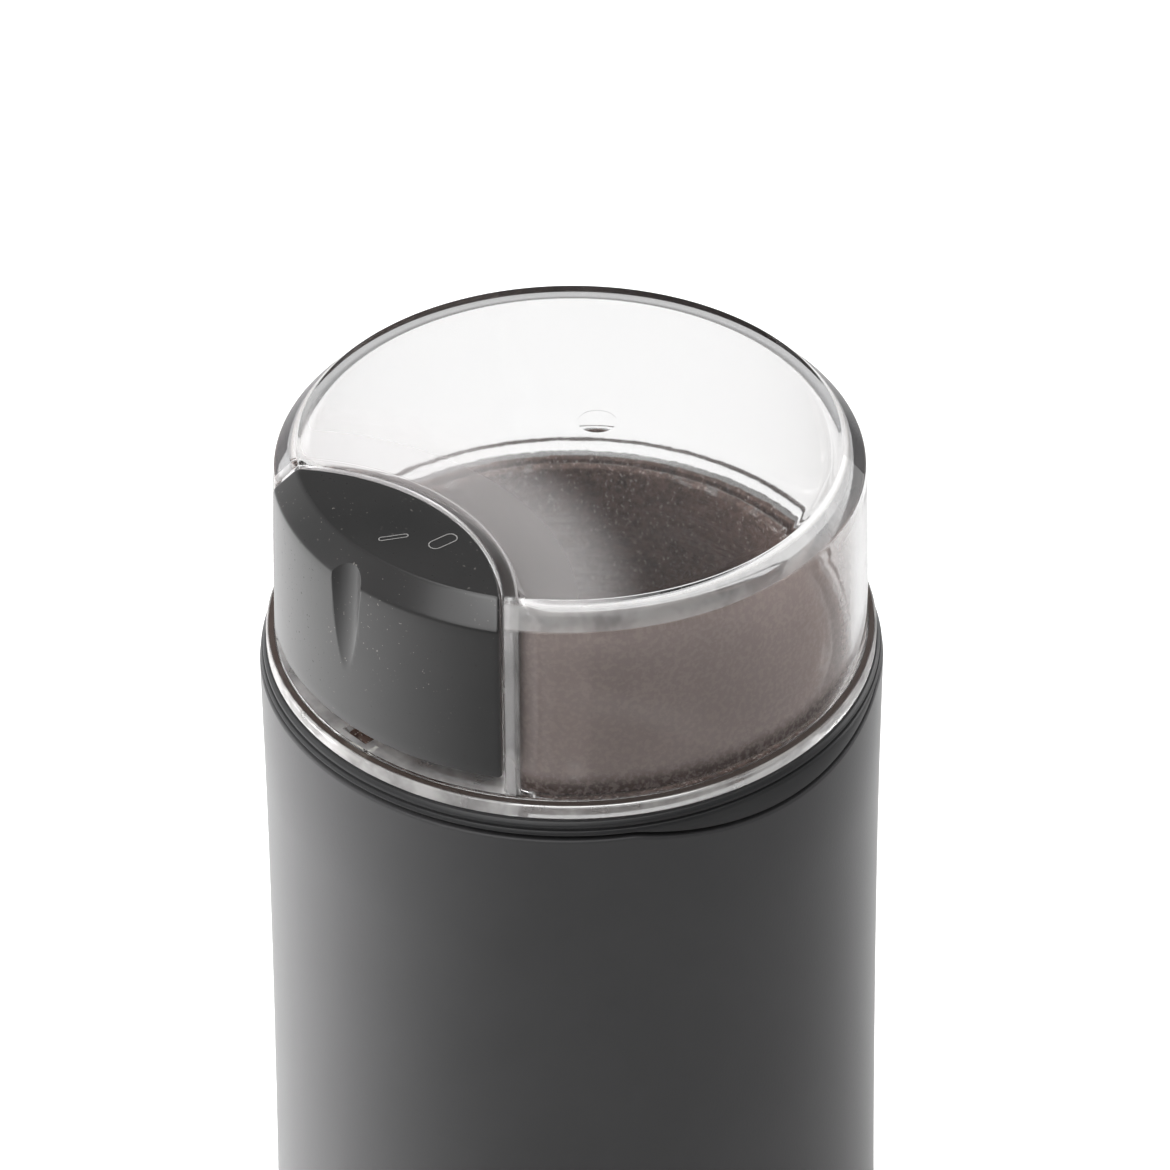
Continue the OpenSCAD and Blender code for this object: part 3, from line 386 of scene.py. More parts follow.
# %% Outlines with softened corners
def soften(corners):
    """Round an outline's corners. Each corner is (across, up) or (across, up, radius)."""
    step = 18   # degrees of turn for each point of a rounded corner
    points = []
    for i, corner in enumerate(corners):
        here = Vector(corner[:2])
        radius = corner[2] if len(corner) > 2 else 0
        if not radius:
            points.append(tuple(here))
            continue
        back = (Vector(corners[i - 1][:2]) - here).normalized()
        onward = (Vector(corners[(i + 1) % len(corners)][:2]) - here).normalized()
        half = back.angle(onward) / 2
        centre = here + (back + onward).normalized() * (radius / math.sin(half))
        start = here + back * (radius / math.tan(half)) - centre
        end = here + onward * (radius / math.tan(half)) - centre
        first = math.atan2(start.y, start.x)
        sweep = (math.atan2(end.y, end.x) - first + math.pi) % (2 * math.pi) - math.pi
        count = max(2, math.ceil(abs(math.degrees(sweep)) / step))
        for k in range(count + 1):
            angle = first + sweep * k / count
            points.append((centre.x + radius * math.cos(angle),
                           centre.y + radius * math.sin(angle)))
    return points


def arc(centre, radius, first, last, count):
    """Points along a circle, from one angle to another, in radians."""
    angles = [first + (last - first) * k / count for k in range(count + 1)]
    return [(centre[0] + radius * math.cos(a), centre[1] + radius * math.sin(a)) for a in angles]


# %% Meshes from outlines
def turned(outline, about=(0, 0), segments=256):
    """Points and faces of a closed outline turned about an upright axis."""
    count = len(outline)
    points = []
    for s in range(segments):
        angle = 2 * math.pi * s / segments
        for across, up in outline:
            points.append((about[0] + across * math.cos(angle),
                           about[1] + across * math.sin(angle), up))
    faces = []
    for s in range(segments):
        here, there = s * count, (s + 1) % segments * count
        for k in range(count):
            k2 = (k + 1) % count
            if outline[k][0] or outline[k2][0]:
                faces.append((here + k, there + k, there + k2, here + k2))
    return points, faces


def lofted(levels):
    """Points and faces of a solid through level outlines: each level is (up, points)."""
    count = len(levels[0][1])
    points = [(x, y, up) for up, outline in levels for x, y in outline]
    faces = [tuple(range(count))[::-1]]
    for row in range(len(levels) - 1):
        for k in range(count):
            k2 = (k + 1) % count
            low, high = row * count, (row + 1) * count
            faces.append((low + k, low + k2, high + k2, high + k))
    faces.append(tuple(range((len(levels) - 1) * count, len(levels) * count)))
    return points, faces


def build(name, shape):
    """An object from points in millimetres and faces, closed, with its faces outwards."""
    points, faces = shape
    mesh = bpy.data.meshes.new(name)
    mesh.from_pydata([tuple(c * MM for c in p) for p in points], [], faces)
    piece = bpy.data.objects.new(name, mesh)
    bpy.context.scene.collection.objects.link(piece)
    return smooth(cleaned(piece))


# %% Tidying and cutting meshes
def cleaned(piece, gap=1e-7, turn_out=True):
    """Merge doubled points. A cut piece may hold a hollow, whose faces must stay inwards."""
    work = bmesh.new()
    work.from_mesh(piece.data)
    bmesh.ops.remove_doubles(work, verts=work.verts, dist=gap)
    bmesh.ops.dissolve_degenerate(work, edges=work.edges, dist=gap)
    if turn_out:
        bmesh.ops.recalc_face_normals(work, faces=work.faces)
    work.to_mesh(piece.data)
    work.free()
    return piece


def smooth(piece, sharp=32):
    """Shade smoothly, apart from edges that turn by more than sharp degrees."""
    piece.data.shade_smooth()
    piece.data.set_sharp_from_angle(angle=math.radians(sharp))
    return piece


def settle(piece):
    """Turn what the modifiers show into the piece's own plain mesh."""
    seen = piece.evaluated_get(bpy.context.evaluated_depsgraph_get())
    mesh = bpy.data.meshes.new_from_object(seen)
    piece.modifiers.clear()
    piece.data = mesh
    return piece


def cut(piece, tool, how="DIFFERENCE"):
    """Carve, add or keep what a second closed mesh shares, then drop that mesh."""
    step = piece.modifiers.new("cut", "BOOLEAN")
    step.operation = how
    step.solver = "EXACT"
    step.object = tool
    settle(piece)
    bpy.data.objects.remove(tool)
    return smooth(cleaned(piece, 1e-6, turn_out=False))


def joined(piece, other):
    """Put a second closed mesh into the same piece."""
    work = bmesh.new()
    work.from_mesh(piece.data)
    work.from_mesh(other.data)
    work.to_mesh(piece.data)
    work.free()
    bpy.data.objects.remove(other)
    return smooth(piece)


def box_tool(low, high):
    """A plain block used only for cutting."""
    (x0, y0, z0), (x1, y1, z1) = low, high
    outline = [(x0, y0), (x1, y0), (x1, y1), (x0, y1)]
    return build("tool", lofted([(z0, outline), (z1, outline)]))


def bar_tool(radius, low, high, about=(0, 0), segments=96):
    """A plain upright round bar used only for cutting."""
    outline = [(0, low), (radius, low), (radius, high), (0, high)]
    return build("tool", turned(outline, about, segments))


def model_copy(node, name):
    """A merged copy of a part of the construction model, without its stored shading."""
    copy = bpy.data.objects.new(name, nodes[node].data.copy())
    bpy.context.scene.collection.objects.link(copy)
    copy.data.materials.clear()
    stored = copy.data.attributes.get("custom_normal")
    if stored:
        copy.data.attributes.remove(stored)
    return smooth(cleaned(copy, 1e-6, turn_out=False))


def present(piece, body, slot, *replaced, finish=None):
    """Give a finished piece its finish, its body and the parts it stands for."""
    piece.data.materials.clear()
    piece.data.materials.append(finishes[finish or slot])
    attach(piece, body)
    if replaced:
        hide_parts(*replaced)
    triangles = sum(len(face.vertices) - 2 for face in piece.data.polygons)
    print(piece.name, "has", triangles, "triangles")
    return piece


print("turning, lofting and cutting helpers are ready")

# %% [markdown]
# ## Sizes that several parts share
# A crust of dust that ends at the bowl's rim, a lid that rests on the collar and a
# button that fills the lid's pocket all have to agree. So the numbers that tie the
# machine together stand here once, in millimetres from the middle of its base. A
# pair is (out from the axis, up). Sizes that one part alone needs stay with it.

# %% Shared sizes
shell_r, collar_top, rod_r = 45.9, 137.4, 41.1
bowl_r, bowl_sheet, bowl_floor, rim_top = 36.8, 0.6, 98.0, 139.0
lid_low, lid_top, lid_wall, roof = 137.7, 172.0, 2.3, 2.4
wall_low, wall_high, chamfer_foot = (43.45, 140.3), (42.5, 168.4), 39.15
sill_low, sill_top = 139.2, 140.5
pocket_centre, pocket_r, pocket_wall, fillet = (0, -58), 33.0, 2.0, 6.0
post_across, post_along = 11, -34
print("lid is", round(lid_top - lid_low, 1), "high and", 2 * wall_low[0], "wide above its foot")

# %% [markdown]
# ## Moulded plastics
# The body is matt black plastic with a soft-touch film, the collar a glossier
# black, and the hidden parts are plain mouldings in their usual colours. One flat
# colour would look painted on. So they share a recipe: a colour that wanders a
# little, a fine moulded grain as relief, and a roughness that wanders too.

# %% Plastics, rubbers and other plain finishes
pale_dust = (0.55, 0.52, 0.48)


def plastic(name, colour, roughness, grain=900.0, depth=0.00001, dust=0.0, drifts=1.0, **more):
    """Moulded plastic: grain is how fine, depth how deep in metres, dust how much lies on it."""
    finish = Finish(name)
    drift = finish.noise(38.0, 3.0)
    fine = finish.noise(grain * 2.0, 2.0, 0.6)
    lighter = tuple(min(1.0, c * (1 + 0.25 * drifts) + 0.004 * drifts) for c in colour)
    tone = finish.wander(drift, colour, lighter)
    if dust:
        speck = finish.noise(1500.0, 1.0, 0.4).spread(0.69, 0.74)
        patch = finish.noise(70.0, 2.0).spread(0.45, 0.7)
        tone = finish.blend(speck * patch * dust, tone, pale_dust)
    rough = roughness + (drift - 0.5) * (0.10 * drifts) + (fine - 0.5) * 0.06
    relief = finish.bump(fine, depth)
    return finish.done(finish.surface(Base_Color=tone, Roughness=rough, Normal=relief, **more))


def spice_dust(finish):
    """Colour and relief of a crust of brown spice powder, with a few pale grains."""
    fine = finish.noise(1300.0, 2.0, 0.6).spread(0.35, 0.65)
    clumps = finish.noise(420.0, 3.0, 0.6).spread(0.50, 0.62)
    grains = finish.noise(2300.0, 1.0, 0.3).spread(0.665, 0.70)
    colour = finish.blend(fine, (0.052, 0.029, 0.023), (0.115, 0.076, 0.064))
    colour = finish.blend(clumps * 0.5, colour, (0.030, 0.017, 0.013))
    colour = finish.blend(grains * 0.6, colour, (0.50, 0.44, 0.40))
    relief = finish.bump(fine * 0.3 + clumps + grains * 0.5, 0.00006, 0.6)
    return finish.surface(Base_Color=colour, Roughness=0.9, Specular_IOR_Level=0.15, Normal=relief)


def dusty_plastic(name, colour, roughness, reach):
    """Black plastic that is crusted with spice near the axis, on top of the collar."""
    finish = Finish(name)
    drift = finish.noise(38.0, 3.0)
    fine = finish.noise(2400.0, 2.0, 0.6)
    tone = finish.wander(drift, colour, tuple(c * 1.25 for c in colour))
    rough = roughness + (drift - 0.5) * 0.10
    bare = finish.surface(Base_Color=tone, Roughness=rough, Normal=finish.bump(fine, 0.000003))
    _, _, up, out = finish.spot()
    patches = finish.noise(300.0, 3.0, 0.6).spread(0.30, 0.45, 0.55, 1.0)
    cover = out.fade(reach, reach + 0.6) * up.spread(collar_top - 3.4, collar_top - 0.2) * patches
    return finish.done(finish.mixed(cover, bare, spice_dust(finish)))


finishes = {
    "shell_satin": plastic("shell_satin", (0.053, 0.052, 0.054), 0.44, 1400, 0.000012,
                           drifts=0.35, Sheen_Weight=0.6, Sheen_Roughness=0.35),
    "collar_black": dusty_plastic("collar_black", (0.030, 0.030, 0.031), 0.34, rod_r - 0.2),
    "base_black": plastic("base_black", (0.030, 0.030, 0.032), 0.55, 700, 0.00002),
    "foot_rubber": plastic("foot_rubber", (0.022, 0.022, 0.022), 0.78, 500, 0.00003),
    "bush_rubber": plastic("bush_rubber", (0.020, 0.020, 0.021), 0.70, 600, 0.00002),
    "seal_rubber": plastic("seal_rubber", (0.045, 0.045, 0.047), 0.65, 600, 0.00002),
    "seal_red": plastic("seal_red", (0.17, 0.035, 0.025), 0.55, 600, 0.00002),
    "hub_black": plastic("hub_black", (0.024, 0.024, 0.026), 0.40, 800, 0.00001, 0.5),
    "fan_grey": plastic("fan_grey", (0.075, 0.10, 0.12), 0.45, 500, 0.00001),
    "rod_ivory": plastic("rod_ivory", (0.62, 0.60, 0.53), 0.42, 500, 0.00001),
    "switch_blue": plastic("switch_blue", (0.022, 0.038, 0.085), 0.38, 500, 0.00001),
    "plunger_red": plastic("plunger_red", (0.45, 0.045, 0.03), 0.35, 500, 0.000005),
    "fuse_ceramic": plastic("fuse_ceramic", (0.66, 0.62, 0.54), 0.60, 900, 0.00001),
    "carbon": plastic("carbon", (0.035, 0.035, 0.036), 0.62, 1800, 0.00001),
    "lead_white": plastic("lead_white", (0.66, 0.66, 0.63), 0.42, 700, 0.000006, 0.3),
}
print("plastics:", ", ".join(sorted(finishes)))

# %% [markdown]
# ## Metals
# Turned and drawn metal carries fine marks round its axis, rolled sheet carries
# them along one direction. The marks are a noise that is stretched along the
# direction of work: squeezing a coordinate makes the noise long in that axis. An
# anisotropic gloss would stretch the highlights too, but shows no mark close up.

# %% Metals
def metal(name, colour, roughness, marks=(1, 1, 60), depth=0.000004, stain=None, dusty=0.0):
    """Worked metal with marks stretched along some axes, and spice dust on a share of it."""
    finish = Finish(name)
    lines = finish.noise(55.0, 4.0, 0.7, finish.place(scale=marks))
    drift = finish.noise(45.0, 3.0)
    darker = tuple(c * 0.72 for c in colour)
    tone = finish.wander(lines, darker, colour)
    if stain:
        tone = finish.blend(drift.spread(0.45, 0.75) * 0.6, tone, stain)
    rough = roughness + (lines - 0.5) * 0.16 + (drift - 0.5) * 0.08
    relief = finish.bump(lines, depth)
    shader = finish.surface(Base_Color=tone, Metallic=1.0, Roughness=rough, Normal=relief)
    if dusty:
        bare_share = 0.60 - 0.25 * dusty
        patches = finish.noise(260.0, 4.0, 0.65).spread(bare_share, bare_share + 0.12)
        _, _, up, out = finish.spot()
        in_bowl = out.fade(bowl_r - 0.3, bowl_r + 0.2)
        in_bowl = in_bowl * up.spread(bowl_floor - 1.0, bowl_floor - 0.4)
        shader = finish.mixed(patches * in_bowl * 0.9, shader, spice_dust(finish))
    return finish.done(shader)


round_axis, all_ways = (1, 1, 60), (20, 20, 20)
finishes.update({
    "blade_steel": metal("blade_steel", (0.58, 0.58, 0.57), 0.30, (40, 2, 2), dusty=0.4),
    "screw_steel": metal("screw_steel", (0.55, 0.55, 0.54), 0.32, all_ways, dusty=0.5),
    "spring_steel": metal("spring_steel", (0.60, 0.60, 0.60), 0.26, (30, 30, 60)),
    "shaft_steel": metal("shaft_steel", (0.60, 0.60, 0.60), 0.22, round_axis),
    "bearing_bronze": metal("bearing_bronze", (0.50, 0.32, 0.14), 0.36, round_axis,
                            stain=(0.16, 0.09, 0.04)),
    "bracket_cast": metal("bracket_cast", (0.52, 0.53, 0.54), 0.50, (14, 14, 14), 0.00003),
    "lamination_steel": metal("lamination_steel", (0.30, 0.31, 0.32), 0.48, (0.2, 0.2, 45),
                              0.00004, stain=(0.12, 0.08, 0.05)),
    "winding_copper": metal("winding_copper", (0.56, 0.22, 0.08), 0.34, (1, 1, 40), 0.00005),
    "commutator_copper": metal("commutator_copper", (0.70, 0.36, 0.18), 0.28, round_axis,
                               stain=(0.20, 0.10, 0.06)),
    "holder_brass": metal("holder_brass", (0.66, 0.48, 0.18), 0.32, all_ways),
})
print("metals are ready")

# %% [markdown]
# ## The bowl's steel
# A drawn steel bowl, polished round its axis and never quite free of spice: a
# brown crust clings to its wall and in patches to its rim. Steel and crust are
# two surfaces, and one mask mixes them, so that each keeps its own gloss.

# %% Bowl steel with a film of spice dust
def dusty_steel():
    finish = Finish("bowl_steel")
    rings = finish.noise(60.0, 4.0, 0.7, finish.place(scale=(1, 1, 70)))
    cloud = finish.noise(60.0, 3.0).spread(0.30, 0.66, 0.86, 1.0)
    patches = finish.noise(300.0, 3.0, 0.6).spread(0.32, 0.50, 0.35, 1.0)
    _, _, up, out = finish.spot()
    inside = out.fade(bowl_r + 1.1, bowl_r + 1.6)
    rim = up.spread(rim_top - 0.7, rim_top - 0.2)
    film = cloud * inside * (1.0 - rim * (1.0 - patches))
    colour = finish.wander(rings, (0.42, 0.41, 0.40), (0.60, 0.59, 0.58))
    steel = finish.surface(Base_Color=colour, Metallic=1.0, Roughness=(rings - 0.5) * 0.14 + 0.27,
                           Normal=finish.bump(rings, 0.000004))
    return finish.done(finish.mixed(film, steel, spice_dust(finish)))


finishes["bowl_steel"] = dusty_steel()

# %% [markdown]
# ## The clear lid's finish
# Clear plastic bends light, so it gets a transmitting surface with the index of
# styrene-acrylonitrile. Left at that it would look like a perfect crystal. A real
# lid has faint moulding waves, a film of brown dust on its inner wall, a crust in
# the step above its foot, and edges frosted by wear. Some films are painted light
# and shade too: the dark brown low on the front wall is dust and painted shade, the
# pale film under the roof is dust and painted light, the film on the sloped edge is
# painted reflection near the button and painted shade away from it, and the pale
# frost on the foot ring, the sill and the ends of the pocket's wall is wear and
# painted light. Each is a second surface with a mask of its own, worked out from the
# lid's sizes, because a film of dust dims what is behind it while a darker glass
# would only tint it. Lamps shine straight through, so the bowl stays lit.

# %% Where dust, wear, painted light and painted shade reach on the lid
def lid_places(finish):
    """A mask from 0 to 1 for each part of the lid with dust, wear, painted light or painted shade.
    """
    across, along, up, out = finish.spot()
    beyond = along - pocket_centre[1]
    pocket = (across * across + beyond * beyond) ** 0.5
    facing = (across * 0.80 + along * -0.60) / (out + 0.1)
    rear, inner_top, shoulder = pocket_r + pocket_wall, lid_top - roof, wall_high[1]
    # The inner side wall, dusty at its front and in a low band that reaches further,
    # where the darker film is dust and painted shade.
    wall = out.within(37.5, 39.5, 41.2, 41.7) * pocket.spread(rear + 0.1, rear + 0.5)
    wall = wall * up.within(sill_low, sill_top, shoulder - 1.6, shoulder)
    front = facing.spread(0.20, 0.88, 0.03, 0.97)
    low = up.spread(141.0, 145.0, 0.30, 0.0) * facing.spread(-0.2, 0.3)
    # The roof's underside, with a pale film of dust and painted light, and the sloped edge
    # round it, with a film of painted reflection and painted shade.
    ceiling = up.within(inner_top - 0.6, inner_top - 0.3, inner_top + 0.2, inner_top + 0.7)
    ceiling = ceiling * pocket.spread(rear - 1.0, rear - 0.6)
    slope = (out + (up - shoulder) * 0.93).spread(42.0, 42.3)
    slope = slope * up.within(shoulder + 0.1, shoulder + 0.4, lid_top - 1.0, lid_top - 0.4)
    slope = slope * pocket.spread(pocket_r + 0.1, pocket_r + 0.4)
    # The rear of the pocket's wall, and the step above the foot where powder cakes.
    back = pocket.within(rear - 0.3, rear - 0.1, rear + 0.1, rear + 0.3)
    back = back * out.fade(39.0, 40.0) * up.spread(141.0, 145.0)
    step = out.within(43.5, 43.7, 44.3, 44.6) * up.within(139.5, 139.8, 140.2, 140.4)
    # Pale frost for wear and painted light: the foot's outer side, the sill, and the ends
    # of the pocket's wall.
    foot = out.spread(44.3, 44.6) * up.fade(139.9, 140.2) * facing.spread(-0.5, 0.0)
    sill = up.within(sill_top - 0.05, sill_top - 0.01, sill_top + 0.1, sill_top + 0.6)
    sill = sill * pocket.fade(pocket_r + 0.1, pocket_r + 0.3)
    edge = pocket.fade(rear, rear + 0.4) * out.spread(39.5, 40.5)
    edge = edge * up.spread(sill_top, sill_top + 0.3)
    return {"wall": wall * (front + low), "roof_dust_and_painted_light": ceiling * pocket.spread(42.0, 54.0, 0.36, 0.02),
            "back": back, "slope": slope, "grey": ceiling.most(back), "step": step,
            "frost_wear_and_painted_light": foot.most(sill).most(edge * 0.5), "facing": facing,
            "above_step": up.spread(140.8, 144.5)}


# %% The lid's surfaces, one over the other
def clear_plastic():
    finish = Finish("lid_clear")
    at = lid_places(finish)
    hair = finish.noise(420.0, 2.0, 0.6, finish.place(scale=(1, 1, 0.15)))
    glass = finish.surface(Base_Color=(0.99, 0.99, 0.99), Roughness=0.03, IOR=1.50,
                           Transmission_Weight=1.0, Normal=finish.bump(hair, 0.000003))
    specks = finish.noise(1300.0, 2.0, 0.6).spread(0.42, 0.64)
    cloud = finish.noise(48.0, 3.0).spread(0.30, 0.70, 0.86, 1.0)
    streak = finish.noise(90.0, 2.0, 0.5, finish.place(scale=(1, 1, 0.08)))
    streak = streak.spread(0.35, 0.7, 0.88, 1.0)
    haze = (at["wall"] * cloud * streak * (specks * 0.12 + 0.89)).most(at["roof_dust_and_painted_light"])
    haze = haze.most(at["back"] * cloud * 0.45).most(at["slope"] * 0.5)
    # Darker towards the bottom of the wall: the dark brown is dust and painted shade.
    dust = finish.blend(at["above_step"], (0.060, 0.036, 0.030), (0.49, 0.405, 0.38))
    dust = finish.blend(specks * 0.22, dust, (0.56, 0.48, 0.45))
    # Pale grey under the roof and at the pocket's rear: dust, and under the roof painted light as
    # well.
    dust = finish.blend(at["grey"], dust, (0.62, 0.60, 0.60))
    # The sloped edge's film: pale and mottled near the button as painted reflection, dark away
    # from it as painted shade.
    slope_mottle = finish.noise(150.0, 3.0, 0.6).spread(0.35, 0.60)
    pale = finish.blend(slope_mottle, (0.40, 0.39, 0.39), (0.66, 0.65, 0.64))
    slope = finish.blend(at["facing"].spread(0.0, 0.95), (0.085, 0.085, 0.09), pale)
    dust = finish.blend(at["slope"], dust, slope)
    body = finish.mixed(haze, glass, finish.surface(Base_Color=dust, Roughness=0.85))
    # Pale frost: wear, and painted light on the foot ring and on the sill.
    frost = finish.surface(Base_Color=(0.74, 0.72, 0.71), Roughness=0.45)
    patches = finish.noise(160.0, 3.0).spread(0.35, 0.65, 0.30, 0.62)
    body = finish.mixed(at["frost_wear_and_painted_light"] * patches, body, frost)
    crust = finish.surface(Base_Color=(0.050, 0.034, 0.028), Roughness=0.8)
    body = finish.mixed(at["step"] * 0.85, body, crust)
    open_way = finish.add("ShaderNodeBsdfTransparent", {}, {"Color": (0.86, 0.86, 0.86, 1)})
    return finish.done(finish.mixed(finish.ray("Shadow"), body, open_way))


finishes["lid_clear"] = clear_plastic()

# %% [markdown]
# ## The button's finish
# The button is a semi-gloss black that fingers keep polished. A plain glossy black
# would mirror the room too sharply. A dark base under a slightly rough clear coat
# gives the same depth with softer reflections. Dust specks lie in loose patches, and
# fine scratches run down its face.

# %% The button's black
def button_plastic():
    finish = Finish("button_black")
    drift = finish.noise(40.0, 3.0)
    fine = finish.noise(2400.0, 2.0, 0.6)
    specks = finish.noise(2300.0, 1.0, 0.3).spread(0.735, 0.77)
    patch = finish.noise(85.0, 2.0).spread(0.48, 0.66)
    scratch = finish.noise(120.0, 5.0, 0.8, finish.place(scale=(9, 1, 1))).spread(0.60, 0.66)
    tone = finish.wander(drift, (0.020, 0.020, 0.020), (0.029, 0.028, 0.028))
    tone = finish.blend(specks * patch * 0.4, tone, (0.42, 0.39, 0.36))
    rough = 0.32 + (drift - 0.5) * 0.10 + specks * 0.4 + scratch * 0.06
    relief = finish.bump(fine, 0.000004)
    return finish.done(finish.surface(Base_Color=tone, Roughness=rough, Normal=relief,
                                      Coat_Weight=1.0, Coat_Roughness=0.22))


finishes["button_black"] = button_plastic()

# %% [markdown]
# ## Finishes for the parts that stay
# Most parts inside the body keep the model's own mesh, because they are already
# plain turned or bent metal and only a cutaway shows them. Each comes with the name
# of its finish on a stand-in material, so one loop can swap all of them.

# %% Give every part of the construction model its finish
def dress_all():
    """Swap each part's stand-in material for its finish, and list which parts share one."""
    slots = {}
    for name, node in nodes.items():
        for holder in node.material_slots:
            slot = holder.material.name.split(".")[0]
            slots.setdefault(slot, []).append(name)
            holder.material = finishes[slot]
    return slots


dressed = dress_all()
print("slots dressed:", {slot: len(names) for slot, names in dressed.items()})

# %% [markdown]
# ## The body and its collar
# The body is one moulded tube that widens a little towards its foot. The collar
# sits on it along a fine parting line, and that line dips in a shallow curve at
# two opposite places. Cutting the dip with a Boolean would leave its edge sharp.
# Both parts follow one rule, so one Geometry Nodes recipe turns them: it takes an
# outline, sweeps it round, adds the widening, and lowers the points that are marked
# to follow the dip, rounded edges and all.

# %% The recipe for a turned part with a dip
turning = Recipe("turned with a dip", {
    "Segments": 360, "Flare": 0.0, "Flare top": 0.115, "Flare height": 0.113,
    "Edge height": 0.135, "Dip radius": 0.0975, "Dip axis": 0.2295})


def write_turning():
    r, size = turning, turning.inputs
    count = r.add("GeometryNodeAttributeDomainSize", {"component": "MESH"}, {0: size["Start"]})
    grid = r.add("GeometryNodeMeshGrid", {}, {
        "Size X": 1.0, "Size Y": 1.0, "Vertices X": size["Segments"] + 1, "Vertices Y": count + 1})
    index = r.add("GeometryNodeInputIndex")
    row = (index % (count + 1)) % count
    column = (index / (count + 1)).floor()
    outline = {"Geometry": size["Start"], "Index": row}
    place = r.add("GeometryNodeSampleIndex", {"data_type": "FLOAT_VECTOR"}, {
        **outline, "Value": r.add("GeometryNodeInputPosition")})
    follow = r.add("GeometryNodeSampleIndex", {"data_type": "FLOAT"}, {
        **outline, "Value": r.add("GeometryNodeInputNamedAttribute", {"data_type": "FLOAT"},
                                  {"Name": "follow"})})
    across, _, up = place.parts()
    widen = ((size["Flare top"] - up) / size["Flare height"]).most(0.0) ** 1.5 * size["Flare"]
    radius = across + widen
    angle = column * (2 * math.pi) / size["Segments"]
    side = radius * angle.sine()
    curve = (size["Dip radius"] * size["Dip radius"] - side * side).most(0.0) ** 0.5
    drop = (size["Edge height"] - (size["Dip axis"] - curve)).most(0.0)
    spot = r.join_xyz(radius * angle.cosine(), side, up - drop * follow)
    moved = r.add("GeometryNodeSetPosition", {}, {"Geometry": grid, "Position": spot})
    closed = r.add("GeometryNodeMergeByDistance", {}, {"Geometry": moved, "Distance": 1e-7})
    r.end(closed, finishes["shell_satin"])


write_turning()


def turned_with_dip(name, outline, **sizes):
    """outline is a list of (across, up, follow), in millimetres."""
    mesh = bpy.data.meshes.new(name)
    mesh.from_pydata([(across * MM, 0, up * MM) for across, up, _ in outline], [], [])
    follow = mesh.attributes.new("follow", "FLOAT", "POINT")
    follow.data.foreach_set("value", [mark for _, _, mark in outline])
    piece = bpy.data.objects.new(name, mesh)
    bpy.context.scene.collection.objects.link(piece)
    return smooth(cleaned(turning.use_on(piece, **sizes)))


print("turning recipe has", len(turning.tree.nodes), "nodes")

# %% Sizes of the body
shell_wall, foot_level, shell_top = 2.4, 2.0, 134.65
flare, flare_top, flare_height = 2.1, 114.65, 112.65
dip_radius, dip_axis, half_gap = 97.5, 229.5, 0.35


def widening(up):
    """How much the body is wider at a height than at its top."""
    return flare * max(0, (flare_top - up) / flare_height) ** 1.5


print("body is", 2 * (shell_r + widening(foot_level)), "wide before its foot is rounded")

# %% The outer shell
def outer_shell():
    inner = shell_r - shell_wall
    steps = [flare_top - (flare_top - 6) * k / 12 for k in range(13)]
    wall = [(shell_r, foot_level, 1.8)] + [(shell_r, up) for up in reversed(steps)]
    rim = [(shell_r, shell_top, 0.45), (inner, shell_top, 0.3)]
    inside = [(inner, up) for up in steps] + [(inner, foot_level, 0.3)]
    outline = [(across, up, 1.0 if up > shell_top - 1 else 0.0)
               for across, up in soften(wall + rim + inside)]
    shell = turned_with_dip("body_shell", outline, Flare=flare * MM, Flare_top=flare_top * MM,
                            Flare_height=flare_height * MM, Edge_height=shell_top * MM,
                            Dip_radius=(dip_radius + half_gap) * MM, Dip_axis=dip_axis * MM)
    # The hole for the lead's bush is a turned tool that is laid down towards the rear.
    lead_up, bore_r, seat_r = 14, 5.42, 7.3
    seat = shell_r + widening(lead_up) - 1.1
    hole = [(0, 36), (bore_r, 36), (bore_r, seat), (seat_r, seat), (seat_r, 60), (0, 60)]
    points, faces = turned(hole, segments=72)
    cut(shell, build("tool", ([(x, up, y + lead_up) for x, y, up in points], faces)))
    forms = model_copy("outer_shell", "shell_ribs")
    cut(forms, bar_tool(inner + 0.2, 0, 134), "INTERSECT")
    return present(joined(shell, forms), "base", "shell_satin", "outer_shell")


outer_shell()

# %% [markdown]
# The collar carries the bead, a fine line and a low ring that centres the lid.
# Below its outer edge, two tongues fill the dips. Its inner forms, the cup for
# the bowl and the guide of the push rod, come from the construction model.

# %% The collar
def collar():
    under, top, cup, spigot = 135.35, collar_top, 37.7, 43.2
    ring_r, ring_top = (39.85, 40.85), collar_top + 1.2
    profile = [(cup, under), (spigot, under), (shell_r, under, 0.25),
               (shell_r - 0.42, under + 0.72, 0.12), (shell_r - 0.85, under + 0.8, 0.1),
               (shell_r - 0.85, under + 1.1, 0.1), (shell_r - 0.52, under + 1.16, 0.12),
               (shell_r - 0.58, top - 0.45, 0.25), (shell_r - 0.95, top, 0.2),
               (ring_r[1], top), (ring_r[1], ring_top, 0.2), (ring_r[0], ring_top, 0.2),
               (ring_r[0], top), (cup, top, 0.3)]
    outline = [(across, up, 1.0 if up < under + 0.3 and across > spigot - 0.1 else 0.0)
               for across, up in soften(profile)]
    ring = turned_with_dip("collar", outline, Edge_height=under * MM,
                           Dip_radius=(dip_radius - half_gap) * MM, Dip_axis=dip_axis * MM)
    room_r = pocket_r + pocket_wall + 0.6
    cut(ring, bar_tool(room_r, top + 0.02, top + 4, pocket_centre, 192))
    cut(ring, box_tool((-2.8, -rod_r - 1.5, 120), (2.8, -rod_r + 1.5, 150)))
    forms = model_copy("bowl_carrier", "carrier_forms")
    cut(forms, bar_tool(spigot + 0.1, 60, under + 0.05), "INTERSECT")
    return present(joined(ring, forms), "base", "collar_black", "bowl_carrier")


collar()

